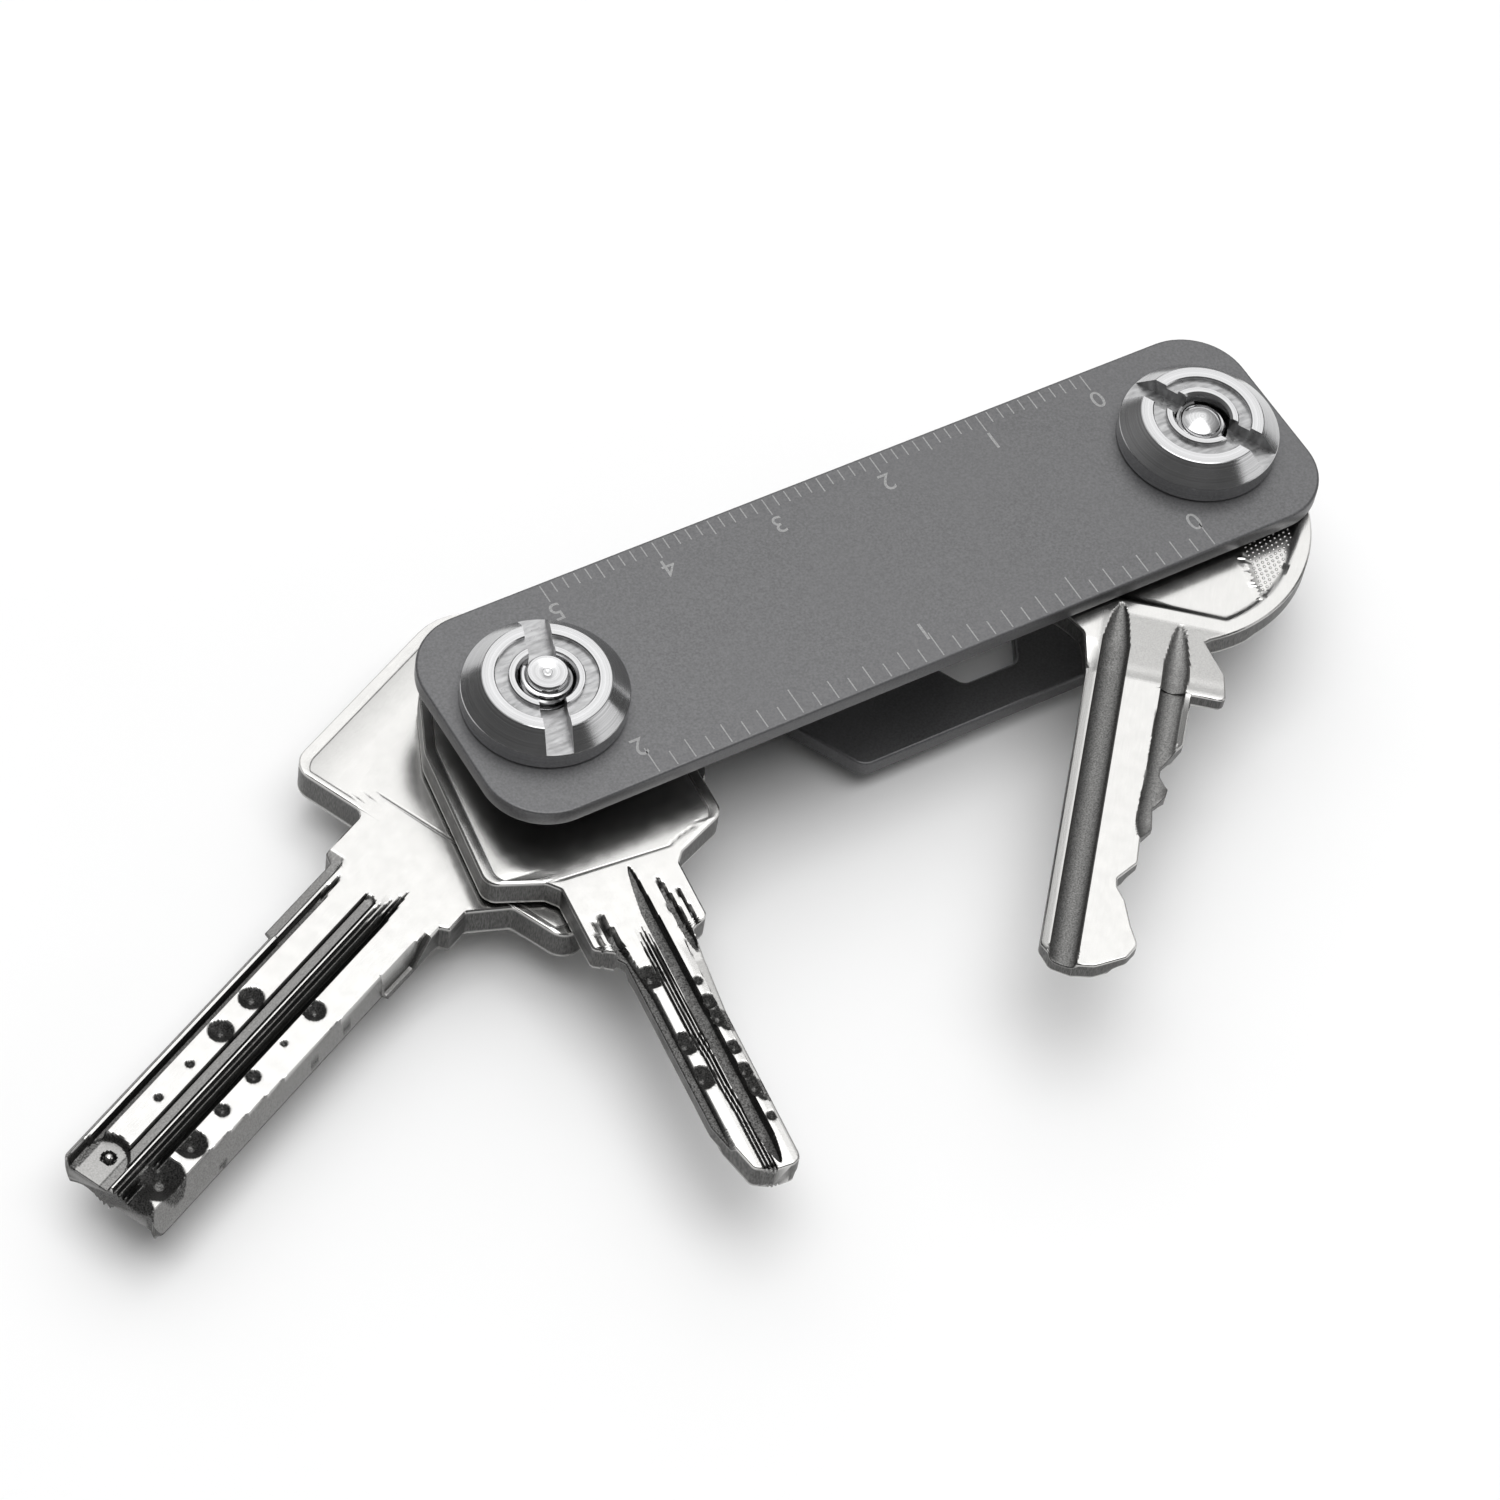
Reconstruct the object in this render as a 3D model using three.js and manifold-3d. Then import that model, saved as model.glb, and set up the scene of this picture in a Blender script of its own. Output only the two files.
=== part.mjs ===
// A key organiser: two flat plates held apart by two threaded posts, with three keys that swing
// out on the posts. Each key turns in a level of its own, so all three fold in side by side.
// Millimetres. The origin is the middle of the left foot's underside, which stands on the table.
// +X runs to the right post, +Y to the long edge with the centimetre scale, +Z up.

import * as THREE from "three";
import { mergeVertices } from "three/addons/utils/BufferGeometryUtils.js";
import Module from "manifold-3d";

const wasm = await Module();
wasm.setup();

// ---- Driving sizes -------------------------------------------------------------------------

const postSpacing = 60;
const plateOverhang = 7.8; // from a post's axis to the end of the plates
const plateWidth = 20;
const plateThickness = 1.5;
const plateCornerRadius = 5.2;
const edgeBreak = 0.2;

const threadRadius = 2;
const holeClearance = 0.15;
const threadClearance = 0.3; // the nut's bore around the thread, where both threads are left plain
const keyBoreClearance = 0.25;

const footRadius = 6.5;
const footHeight = 2;
const footChamfer = 0.4;
const collarRadius = 3.2; // the flatted collar that keeps a post from turning in its plate
const collarHalfFlat = 2.5;
const collarClearance = 0.1;

const nutRadius = 6.5;
const nutBandHeight = 1.6;
const nutConeHeight = 1.45;
const nutRingRadius = 4.95;
const nutGrooveOuter = 3.95;
const nutGrooveInner = 2.95;
const nutGrooveDepth = 0.35;
const coinSlotWidth = 2.1;
const leftSlotAngle = 70.9;
const rightSlotAngle = 119.3;

const leftStudProud = 0.5; // how far a post's end stands out of its nut
const rightStudProud = -0.1;
const studChamfer = 0.5;

const washerThickness = 0.35;
const washerRadius = 5.4;
const spacerRadius = 4.6;

const largeKeyThickness = 3.1;
const smallKeyThickness = 2.6;
const cylinderKeyThickness = 2.2;

// How far each key has been swung out, from folded in, anticlockwise seen from above.
const largeKeyAngle = -154.8;
const smallKeyAngle = -95.8;
const cylinderKeyAngle = -130.5;

const sideSlant = 0.53; // how far a slanted side of the notch and of the window leans, per mm
const notchDepth = 7.2;
const notchMouth = 14.8;
const notchMiddle = -13.2; // from the plate's middle
const notchFillet = 1.5;
const windowStrip = 3.55; // the strip of plate that a key ring goes around
const windowNearWidth = 5;
const windowDepth = 8.4;
const windowMiddle = 8.2; // from the plate's middle
const windowFillet = 0.9;

const roundSegments = 48;
const ringSegments = 32;
const arcSegments = 3;

// ---- Levels, from the table up -------------------------------------------------------------

const bottomPlateLevel = footHeight;
const largeKeyLevel = bottomPlateLevel + plateThickness + washerThickness;
const smallKeyLevel = largeKeyLevel + largeKeyThickness + washerThickness;
const cylinderKeyLevel = smallKeyLevel + smallKeyThickness + washerThickness;
const topPlateLevel = cylinderKeyLevel + cylinderKeyThickness + washerThickness;
const nutLevel = topPlateLevel + plateThickness;
const nutHeight = nutBandHeight + nutConeHeight;

// ---- Materials -----------------------------------------------------------------------------

const anodised = () => new THREE.MeshStandardMaterial({ color: 0x76767a, roughness: 0.6, metalness: 0.7 });
const turnedSteel = () => new THREE.MeshStandardMaterial({ color: 0xc4c4c6, roughness: 0.22, metalness: 1 });
const nickel = () => new THREE.MeshStandardMaterial({ color: 0xd6d4d0, roughness: 0.25, metalness: 1 });
const nylon = () => new THREE.MeshStandardMaterial({ color: 0x2c2c2e, roughness: 0.55, metalness: 0 });

// ---- Solids --------------------------------------------------------------------------------

function toSolid(geometry) {
  const bare = geometry.clone();
  bare.deleteAttribute("normal");
  bare.deleteAttribute("uv");
  const merged = mergeVertices(bare, 1e-4);
  const vertProperties = new Float32Array(merged.attributes.position.array);
  const triVerts = new Uint32Array(merged.index.array);
  return new wasm.Manifold(new wasm.Mesh({ numProp: 3, vertProperties, triVerts }));
}

function toGeometry(solid) {
  const mesh = solid.getMesh();
  const geometry = new THREE.BufferGeometry();
  geometry.setAttribute("position", new THREE.BufferAttribute(new Float32Array(mesh.vertProperties), 3));
  geometry.setIndex(new THREE.BufferAttribute(new Uint32Array(mesh.triVerts), 1));
  return geometry.toNonIndexed();
}

function cut(geometry, tools) {
  const solid = tools.reduce((left, tool) => left.subtract(toSolid(tool)), toSolid(geometry));
  return toGeometry(solid);
}

function join(...geometries) {
  const solid = geometries.map(toSolid).reduce((whole, next) => whole.add(next));
  return toGeometry(solid);
}

// A closed outline through corners of [x, y, fillet radius], taken anticlockwise.
function filletedShape(corners) {
  const shape = new THREE.Shape();
  corners.forEach(([x, y, radius = 0], i) => {
    const corner = new THREE.Vector2(x, y);
    const before = new THREE.Vector2(...corners.at(i - 1).slice(0, 2)).sub(corner).normalize();
    const after = new THREE.Vector2(...corners[(i + 1) % corners.length].slice(0, 2)).sub(corner).normalize();
    const halfAngle = Math.acos(THREE.MathUtils.clamp(before.dot(after), -1, 1)) / 2;
    const reach = radius / Math.tan(halfAngle);
    const start = corner.clone().addScaledVector(before, reach);
    const end = corner.clone().addScaledVector(after, reach);
    if (i === 0) shape.moveTo(start.x, start.y);
    else shape.lineTo(start.x, start.y);
    if (radius > 0) {
      const inward = before.clone().add(after).normalize();
      const centre = corner.clone().addScaledVector(inward, radius / Math.sin(halfAngle));
      const startAngle = start.clone().sub(centre).angle();
      const endAngle = end.clone().sub(centre).angle();
      const clockwise = before.cross(after) > 0;
      shape.absarc(centre.x, centre.y, radius, startAngle, endAngle, clockwise);
    }
  });
  shape.closePath();
  return shape;
}

function extrude(shape, bottom, height, chamfer = 0) {
  const geometry = new THREE.ExtrudeGeometry(shape, {
    depth: height - 2 * chamfer,
    curveSegments: arcSegments,
    bevelEnabled: chamfer > 0,
    bevelSegments: 1,
    bevelThickness: chamfer,
    bevelSize: chamfer,
    bevelOffset: -chamfer,
  });
  return geometry.translate(0, 0, bottom + chamfer);
}

// A solid of revolution about Z, from a profile of [radius, height] taken anticlockwise.
function turned(profile, segments) {
  const points = profile.map(([radius, height]) => new THREE.Vector2(radius, height));
  return new THREE.LatheGeometry(points, segments).rotateX(Math.PI / 2);
}

function ring(inner, outer, height) {
  return turned([[inner, 0], [outer, 0], [outer, height], [inner, height], [inner, 0]], ringSegments);
}

function drill(radius, bottom, top, x = 0, y = 0) {
  return new THREE.CylinderGeometry(radius, radius, top - bottom, ringSegments)
    .rotateX(Math.PI / 2)
    .translate(x, y, (top + bottom) / 2);
}

function block(x0, x1, y0, y1, z0, z1) {
  return new THREE.BoxGeometry(x1 - x0, y1 - y0, z1 - z0)
    .translate((x0 + x1) / 2, (y0 + y1) / 2, (z0 + z1) / 2);
}

// A round outline with two flats, parallel to X at plus and minus halfFlat.
function doubleD(radius, halfFlat) {
  const corner = Math.asin(halfFlat / radius);
  const shape = new THREE.Shape();
  shape.absarc(0, 0, radius, -corner, corner, false);
  shape.absarc(0, 0, radius, Math.PI - corner, Math.PI + corner, false);
  shape.closePath();
  return shape;
}

// ---- Plates --------------------------------------------------------------------------------

const plateLength = postSpacing + 2 * plateOverhang;
const plateMiddle = postSpacing / 2;
const past = 1; // how far a cutting tool runs past the face it opens

function plateOutline() {
  const left = -plateOverhang;
  const right = left + plateLength;
  const side = plateWidth / 2;
  return filletedShape([
    [left, -side, plateCornerRadius],
    [right, -side, plateCornerRadius],
    [right, side, plateCornerRadius],
    [left, side, plateCornerRadius],
  ]);
}

function topPlate() {
  const plate = extrude(plateOutline(), 0, plateThickness, edgeBreak);
  const holeRadius = threadRadius + holeClearance;
  const holes = [0, postSpacing].map((x) => drill(holeRadius, -past, plateThickness + past, x));
  return cut(plate, holes);
}

// The bottom plate's near edge has a notch for a fingertip, and a window beside it for a key ring.
function bottomPlate() {
  const left = -plateOverhang;
  const right = left + plateLength;
  const side = plateWidth / 2;
  const notchX = plateMiddle + notchMiddle;
  const notchHalf = notchMouth / 2;
  const notchFloorHalf = notchHalf - notchDepth * sideSlant;
  const outline = filletedShape([
    [left, -side, plateCornerRadius],
    [notchX - notchHalf, -side, notchFillet],
    [notchX - notchFloorHalf, notchDepth - side, notchFillet],
    [notchX + notchFloorHalf, notchDepth - side, notchFillet],
    [notchX + notchHalf, -side, notchFillet],
    [right, -side, plateCornerRadius],
    [right, side, plateCornerRadius],
    [left, side, plateCornerRadius],
  ]);
  const plate = extrude(outline, 0, plateThickness, edgeBreak);

  const windowX = plateMiddle + windowMiddle;
  const nearY = windowStrip - side;
  const nearHalf = windowNearWidth / 2;
  const farHalf = nearHalf + windowDepth * sideSlant;
  const windowShape = filletedShape([
    [windowX - nearHalf, nearY, windowFillet],
    [windowX + nearHalf, nearY, windowFillet],
    [windowX + farHalf, nearY + windowDepth, windowFillet],
    [windowX - farHalf, nearY + windowDepth, windowFillet],
  ]);
  const collarHole = doubleD(collarRadius + collarClearance, collarHalfFlat + collarClearance);
  const through = plateThickness + 2 * past;
  const collarHoles = [0, postSpacing].map((x) => extrude(collarHole, -past, through).translate(x, 0, 0));
  return cut(plate, [extrude(windowShape, -past, through), ...collarHoles]);
}

// ---- Posts, nuts, washers and spacers ------------------------------------------------------

// A post: a round foot under the bottom plate, a flatted collar in it, and a threaded stud.
function post(studProud) {
  const top = nutLevel + nutHeight + studProud;
  const body = turned([
    [0, 0],
    [footRadius - footChamfer, 0],
    [footRadius, footChamfer],
    [footRadius, footHeight],
    [threadRadius, footHeight],
    [threadRadius, top - studChamfer],
    [threadRadius - studChamfer, top],
    [0, top],
  ], roundSegments);
  const sunk = footHeight / 2;
  const collarHeight = sunk + plateThickness - collarClearance;
  return join(body, extrude(doubleD(collarRadius, collarHalfFlat), footHeight - sunk, collarHeight));
}

// A round nut with a coin slot across its coned face and a ring groove around its bore.
function coinNut() {
  const bore = threadRadius + threadClearance;
  const grooveFloor = nutHeight - nutGrooveDepth;
  const body = turned([
    [bore, 0],
    [nutRadius, 0],
    [nutRadius, nutBandHeight],
    [nutRingRadius, nutHeight],
    [nutGrooveOuter, nutHeight],
    [nutGrooveOuter, grooveFloor],
    [nutGrooveInner, grooveFloor],
    [nutGrooveInner, nutHeight],
    [bore, nutHeight],
    [bore, 0],
  ], roundSegments);
  const reach = nutRadius + past;
  const half = coinSlotWidth / 2;
  return cut(body, [block(-reach, reach, -half, half, nutBandHeight, nutHeight + past)]);
}

const washer = () => ring(threadRadius + holeClearance, washerRadius, washerThickness);
const spacer = (height) => ring(threadRadius + holeClearance, spacerRadius, height);

// ---- Keys ----------------------------------------------------------------------------------
// Each key is drawn about the middle line of its blade, which runs along +X from bow to tip, and
// is then moved sideways by its shift, so that the post passes through its bore at the origin.

const pinPitch = 3.7; // between two dimples of one row, and between two cuts

const largeKey = {
  shift: -1.45, bowBack: -9.2, bowFront: 12.4, bowShift: 0.3, bowHalf: 13.15, bowRadius: 2.8,
  collarEnd: 18, collarHalf: 5.75, neckRadius: 0.6, bladeHalf: 4.55, tip: 50.4, tipRadius: 1.6,
  trackHalf: 1, trackMiddle: -0.4, trackDepth: 0.35, stepStart: 24, stepWidth: 1.1, stepDepth: 0.8,
};

const smallKey = {
  shift: 0.5, bowBack: -8.6, bowFront: 12, bowHalf: 9.75, bowBackHalf: 7, bowRadius: 2.2,
  shoulder: 1.8, collarEnd: 19.6, collarHalf: 4.65, neckRadius: 0.4, bladeHalf: 2.5, bladeStart: 20.6,
  tip: 42, tipChamfer: 1.2, trackHalf: 0.55, trackMiddle: 0.9, trackDepth: 0.6,
};

const cylinderKey = {
  shift: -1.15, bowRadius: 12.95, bowMiddle: 7, bowShift: -1.25, rim: 1.5, panelDepth: 0.25,
  collarStart: 17, collarEnd: 24, collarHalf: 4.9, neckRadius: 0.4, lugStart: 21, lugHalf: 6.85,
  bladeHalf: 4.15, tip: 51.5, tipSlope: 1.8, tipChamfer: 1.3,
  grooveStart: 18, grooveDepth: 0.7, leftGroove: -2.35, leftGrooveHalf: 1,
  rightGroove: 2.3, rightGrooveHalf: 0.7, rightGrooveEnd: 38.6,
};

// Cone-shaped dimples for the lock's pins: the first one's place along the blade, the row's
// distance from the middle line, and each dimple as [pitches from the first, radius].
const largeLeftRow = { start: 31.2, offset: -2.1, dimples: [[0, 1.03], [1, 1.03], [2, 0.4], [3, 0.4]] };
const largeRightRow = {
  start: 29.2, offset: 2.2,
  dimples: [[0, 0.95], [1, 0.32], [2, 0.63], [3, 0.63], [4, 1.27], [5, 1.7]],
};
const smallLeftRow = { start: 23.4, offset: -1.4, dimples: [[0, 1], [1.7, 1], [2.54, 1]] };
const smallRightRow = {
  start: 25, offset: 1.7,
  dimples: [[0, 0.4], [1, 0.9], [1.7, 0.6], [2.7, 0.9], [3.4, 0.45]],
};
const dimpleSteepness = 0.7; // of a dimple's depth to its radius
const dimpleFloor = 0.15; // of a dimple's floor radius to its mouth's
const dimpleSegments = 12;

// The cuts in the cylinder key's edge, a pitch apart: the depth of each.
const firstCut = 32.2;
const cutDepths = [1.3, 0.8, 1.5, 3.2];
const cutFloorHalf = 0.3;
const cutSlope = 0.8; // of height to length, up a cut's side

function dimple(x, y, faceLevel, radius) {
  const depth = radius * dimpleSteepness;
  const lift = 0.1;
  const mouth = radius * (1 + lift / depth);
  return new THREE.CylinderGeometry(mouth, radius * dimpleFloor, depth + lift, dimpleSegments)
    .rotateX(Math.PI / 2)
    .translate(x, y, faceLevel + (lift - depth) / 2);
}

function dimpleRow({ start, offset, dimples }, faceLevel) {
  return dimples.map(([place, radius]) => dimple(start + place * pinPitch, offset, faceLevel, radius));
}

// A straight groove down the blade, open at its top.
function groove(start, end, middle, half, faceLevel, depth) {
  return block(start, end, middle - half, middle + half, faceLevel - depth, faceLevel + past);
}

function finishKey(blank, tools, shift, thickness) {
  const bore = drill(threadRadius + keyBoreClearance, -past, thickness + past, 0, -shift);
  return cut(blank, [...tools, bore]).translate(0, shift, 0);
}

function largeDimpleKey() {
  const k = largeKey;
  const face = largeKeyThickness;
  const blank = extrude(filletedShape([
    [k.bowBack, k.bowShift - k.bowHalf, k.bowRadius * 2],
    [k.bowFront, k.bowShift - k.bowHalf, k.bowRadius],
    [k.bowFront, -k.collarHalf, k.neckRadius],
    [k.collarEnd, -k.collarHalf, k.neckRadius / 2],
    [k.collarEnd, -k.bladeHalf],
    [k.tip, -k.bladeHalf, k.tipRadius],
    [k.tip, k.bladeHalf, k.tipRadius],
    [k.collarEnd, k.bladeHalf],
    [k.collarEnd, k.collarHalf, k.neckRadius / 2],
    [k.bowFront, k.collarHalf, k.neckRadius],
    [k.bowFront, k.bowShift + k.bowHalf, k.bowRadius],
    [k.bowBack, k.bowShift + k.bowHalf, k.bowRadius * 2],
  ]), 0, face);
  const end = k.tip + past;
  const track = groove(k.collarEnd, end, k.trackMiddle, k.trackHalf, face, k.trackDepth);
  const step = groove(k.stepStart, end, -k.bladeHalf, k.stepWidth, face, k.stepDepth);
  const dimples = [...dimpleRow(largeLeftRow, face), ...dimpleRow(largeRightRow, face)];
  return finishKey(blank, [track, step, ...dimples], k.shift, face);
}

function smallDimpleKey() {
  const k = smallKey;
  const face = smallKeyThickness;
  const bowEdge = k.bowFront - k.shoulder / 2;
  const neck = k.bowFront + k.shoulder;
  const blank = extrude(filletedShape([
    [k.bowBack, -k.bowBackHalf, k.bowRadius * 1.5],
    [bowEdge, -k.bowHalf, k.bowRadius],
    [neck, -k.collarHalf, k.neckRadius],
    [k.collarEnd, -k.collarHalf, k.neckRadius],
    [k.bladeStart, -k.bladeHalf, k.neckRadius],
    [k.tip - k.tipChamfer, -k.bladeHalf, k.neckRadius],
    [k.tip, k.tipChamfer - k.bladeHalf, k.neckRadius],
    [k.tip, k.bladeHalf, k.neckRadius * 2],
    [k.bladeStart, k.bladeHalf, k.neckRadius],
    [k.collarEnd, k.collarHalf, k.neckRadius],
    [neck, k.collarHalf, k.neckRadius],
    [bowEdge, k.bowHalf, k.bowRadius],
    [k.bowBack, k.bowBackHalf, k.bowRadius * 1.5],
  ]), 0, face);
  const track = groove(neck, k.tip + past, k.trackMiddle, k.trackHalf, face, k.trackDepth);
  const dimples = [...dimpleRow(smallLeftRow, face), ...dimpleRow(smallRightRow, face)];
  return finishKey(blank, [track, ...dimples], k.shift, face);
}

// The cut edge of the cylinder key's blade, as corners from its tip back to the collar. Where
// two cuts meet below the blade's own edge, they leave a lower tooth between them.
function cutEdge(k) {
  const cuts = cutDepths.map((depth, i) => {
    const run = Math.min(depth / cutSlope, pinPitch / 2 - cutFloorHalf - edgeBreak);
    const middle = firstCut + i * pinPitch;
    const floor = k.bladeHalf - depth;
    return [
      [middle - cutFloorHalf - run, floor + run * cutSlope],
      [middle - cutFloorHalf, floor],
      [middle + cutFloorHalf, floor],
      [middle + cutFloorHalf + run, floor + run * cutSlope],
    ];
  });
  return cuts.flat().reverse();
}

function cylinderLockKey() {
  const k = cylinderKey;
  const face = cylinderKeyThickness;
  const bow = new THREE.CylinderGeometry(k.bowRadius, k.bowRadius, face, roundSegments)
    .rotateX(Math.PI / 2)
    .translate(k.bowMiddle, k.bowShift, face / 2);
  const crest = k.bladeHalf - k.tipChamfer;
  const blade = extrude(filletedShape([
    [k.bowMiddle, -k.collarHalf],
    [k.collarEnd - k.neckRadius, -k.collarHalf, k.neckRadius],
    [k.collarEnd, -k.bladeHalf, k.neckRadius],
    [k.tip - k.tipChamfer, -k.bladeHalf, k.neckRadius],
    [k.tip, k.tipChamfer - k.bladeHalf, k.neckRadius],
    [k.tip - k.tipSlope, crest - k.tipChamfer, k.neckRadius],
    [k.tip - k.tipSlope - k.tipChamfer, crest],
    ...cutEdge(k),
    [firstCut - pinPitch, k.bladeHalf],
    [k.collarEnd, k.bladeHalf, k.neckRadius],
    [k.collarEnd, k.lugHalf, k.neckRadius],
    [k.lugStart, k.lugHalf, k.neckRadius * 2],
    [k.collarStart, k.collarHalf],
    [k.bowMiddle, k.collarHalf],
  ]), 0, face);
  const panelRadius = k.bowRadius - k.rim;
  const panel = drill(panelRadius, face - k.panelDepth, face + past, k.bowMiddle, k.bowShift);
  const grooves = [
    groove(k.grooveStart, k.tip + past, k.leftGroove, k.leftGrooveHalf, face, k.grooveDepth),
    groove(k.grooveStart, k.rightGrooveEnd, k.rightGroove, k.rightGrooveHalf, face, k.grooveDepth),
  ];
  return finishKey(join(blade, bow), [panel, ...grooves], k.shift, face);
}

// ---- Assembly ------------------------------------------------------------------------------

const organiser = new THREE.Group();

function addPiece(name, geometry, material, x, level, angle = 0) {
  const piece = new THREE.Mesh(geometry, material);
  piece.name = name;
  piece.position.set(x, 0, level);
  piece.rotation.z = THREE.MathUtils.degToRad(angle);
  organiser.add(piece);
}

const leftX = 0;
const rightX = postSpacing;

addPiece("bottom_plate", bottomPlate(), anodised(), leftX, bottomPlateLevel);
addPiece("top_plate", topPlate(), anodised(), leftX, topPlateLevel);

addPiece("left_post", post(leftStudProud), turnedSteel(), leftX, 0);
addPiece("right_post", post(rightStudProud), turnedSteel(), rightX, 0);
addPiece("left_nut", coinNut(), turnedSteel(), leftX, nutLevel, leftSlotAngle);
addPiece("right_nut", coinNut(), turnedSteel(), rightX, nutLevel, rightSlotAngle);

addPiece("large_dimple_key", largeDimpleKey(), nickel(), leftX, largeKeyLevel, largeKeyAngle);
addPiece("small_dimple_key", smallDimpleKey(), nickel(), leftX, smallKeyLevel, smallKeyAngle);
addPiece("cylinder_key", cylinderLockKey(), nickel(), rightX, cylinderKeyLevel, cylinderKeyAngle);

// A washer lies under each key's level and one over the topmost, on both posts.
const washerLevels = [largeKeyLevel, smallKeyLevel, cylinderKeyLevel, topPlateLevel];
washerLevels.forEach((level, i) => {
  const bottom = level - washerThickness;
  addPiece(`left_washer_${i + 1}`, washer(), nylon(), leftX, bottom);
  addPiece(`right_washer_${i + 1}`, washer(), nylon(), rightX, bottom);
});

// A spacer fills each level that holds no key on its post.
addPiece("left_spacer", spacer(cylinderKeyThickness), turnedSteel(), leftX, cylinderKeyLevel);
addPiece("right_lower_spacer", spacer(largeKeyThickness), turnedSteel(), rightX, largeKeyLevel);
addPiece("right_upper_spacer", spacer(smallKeyThickness), turnedSteel(), rightX, smallKeyLevel);

export default organiser;
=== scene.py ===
"""The looks of a key organiser: two anodised plates on threaded posts, with coin-slot nuts, nylon
washers and three keys that swing out. Sizes are in millimetres until a piece is put in place."""

import math

import bmesh
import bpy
import numpy as np
from mathutils import Matrix, Vector


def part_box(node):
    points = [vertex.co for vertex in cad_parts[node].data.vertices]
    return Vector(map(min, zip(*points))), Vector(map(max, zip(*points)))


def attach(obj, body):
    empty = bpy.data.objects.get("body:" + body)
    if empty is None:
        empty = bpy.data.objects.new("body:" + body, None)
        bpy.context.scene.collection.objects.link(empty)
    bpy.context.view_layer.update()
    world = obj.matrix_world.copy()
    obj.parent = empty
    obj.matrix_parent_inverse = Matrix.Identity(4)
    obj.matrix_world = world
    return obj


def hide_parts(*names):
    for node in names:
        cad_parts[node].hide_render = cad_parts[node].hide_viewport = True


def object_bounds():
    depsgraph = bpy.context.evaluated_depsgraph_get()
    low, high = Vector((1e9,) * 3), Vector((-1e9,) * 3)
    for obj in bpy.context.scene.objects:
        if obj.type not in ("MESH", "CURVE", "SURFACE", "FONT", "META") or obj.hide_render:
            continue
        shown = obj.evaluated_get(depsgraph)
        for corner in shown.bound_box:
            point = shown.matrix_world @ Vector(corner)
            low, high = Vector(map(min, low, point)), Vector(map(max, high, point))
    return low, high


bl_info = {
    "name": "Key Organiser",
    "version": (1, 0, 0),
    "blender": (4, 5, 0),
    "location": "3D View > Sidebar > Organiser",
    "description": "Builds the plates, posts, nuts, washers and keys of a folding key organiser",
    "category": "Object",
}

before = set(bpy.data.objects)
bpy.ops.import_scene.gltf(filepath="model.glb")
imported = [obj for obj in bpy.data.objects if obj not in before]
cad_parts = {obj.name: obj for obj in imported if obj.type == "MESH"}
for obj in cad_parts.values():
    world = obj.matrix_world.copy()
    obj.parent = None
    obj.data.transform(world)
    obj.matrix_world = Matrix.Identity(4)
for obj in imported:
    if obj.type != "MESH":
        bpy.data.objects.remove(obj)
cad_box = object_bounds()

MM = 0.001


def node_box(node):
    """Lowest and highest corner of a CAD node, in millimetres."""
    low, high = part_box(node)
    return Vector(low) / MM, Vector(high) / MM


def node_centre(node):
    low, high = node_box(node)
    return (low + high) / 2


LEFT_POST = node_centre("left_post").x
RIGHT_POST = node_centre("right_post").x
TOP_PLATE_LOW, TOP_PLATE_HIGH = node_box("top_plate")
BOTTOM_PLATE_LOW, BOTTOM_PLATE_HIGH = node_box("bottom_plate")
PLATE_MIDDLE = (LEFT_POST + RIGHT_POST) / 2

# ---- Sizes that the pieces share, in millimetres ---------------------------------------------

THREAD_RADIUS = 2.0
THREAD_PITCH = 0.7
THREAD_DEPTH = 0.3
COLLAR_RADIUS = 3.2
COLLAR_HALF_FLAT = 2.5
BORE_CLEARANCE = 0.15
TURNED_STEPS = 144


# ---- Meshes ----------------------------------------------------------------------------------


def evaluated_mesh(piece):
    """The piece's mesh with its modifiers applied."""
    graph = bpy.context.evaluated_depsgraph_get()
    return bpy.data.meshes.new_from_object(piece.evaluated_get(graph))


def linked(name, data):
    piece = bpy.data.objects.new(name, data)
    bpy.context.scene.collection.objects.link(piece)
    return piece


def shade(mesh, sharp_angle=32):
    """Smooth shading, with the edges steeper than the angle kept sharp."""
    mesh.polygons.foreach_set("use_smooth", [True] * len(mesh.polygons))
    mesh.set_sharp_from_angle(angle=math.radians(sharp_angle))


def mesh_of(solid, name):
    """A new mesh made from a bmesh, which is freed."""
    mesh = bpy.data.meshes.new(name)
    solid.to_mesh(mesh)
    solid.free()
    return mesh


def faced_outwards(mesh):
    """The mesh with all its faces pointing out of it."""
    solid = bmesh.new()
    solid.from_mesh(mesh)
    bmesh.ops.recalc_face_normals(solid, faces=solid.faces)
    solid.to_mesh(mesh)
    solid.free()
    return mesh


def joined(meshes):
    """One mesh made of several that stay separate shells."""
    whole = bmesh.new()
    for mesh in meshes:
        whole.from_mesh(mesh)
    return mesh_of(whole, "joined")


def placed(mesh, x=0, z=0, turn=0):
    """Moves a mesh from its own millimetres to its place in the frame, in metres."""
    turned = Matrix.Rotation(math.radians(turn), 4, "Z")
    mesh.transform(Matrix.Scale(MM, 4) @ Matrix.Translation((x, 0, z)) @ turned)
    return mesh


def add_piece(name, mesh, body, replaced, materials):
    """Puts a finished mesh in the scene as the piece that stands for the replaced CAD nodes."""
    mesh.name = name
    mesh.materials.clear()
    for material in materials:
        mesh.materials.append(material)
    piece = linked(name, mesh)
    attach(piece, body)
    if replaced:
        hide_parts(*replaced)
    return piece


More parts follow.
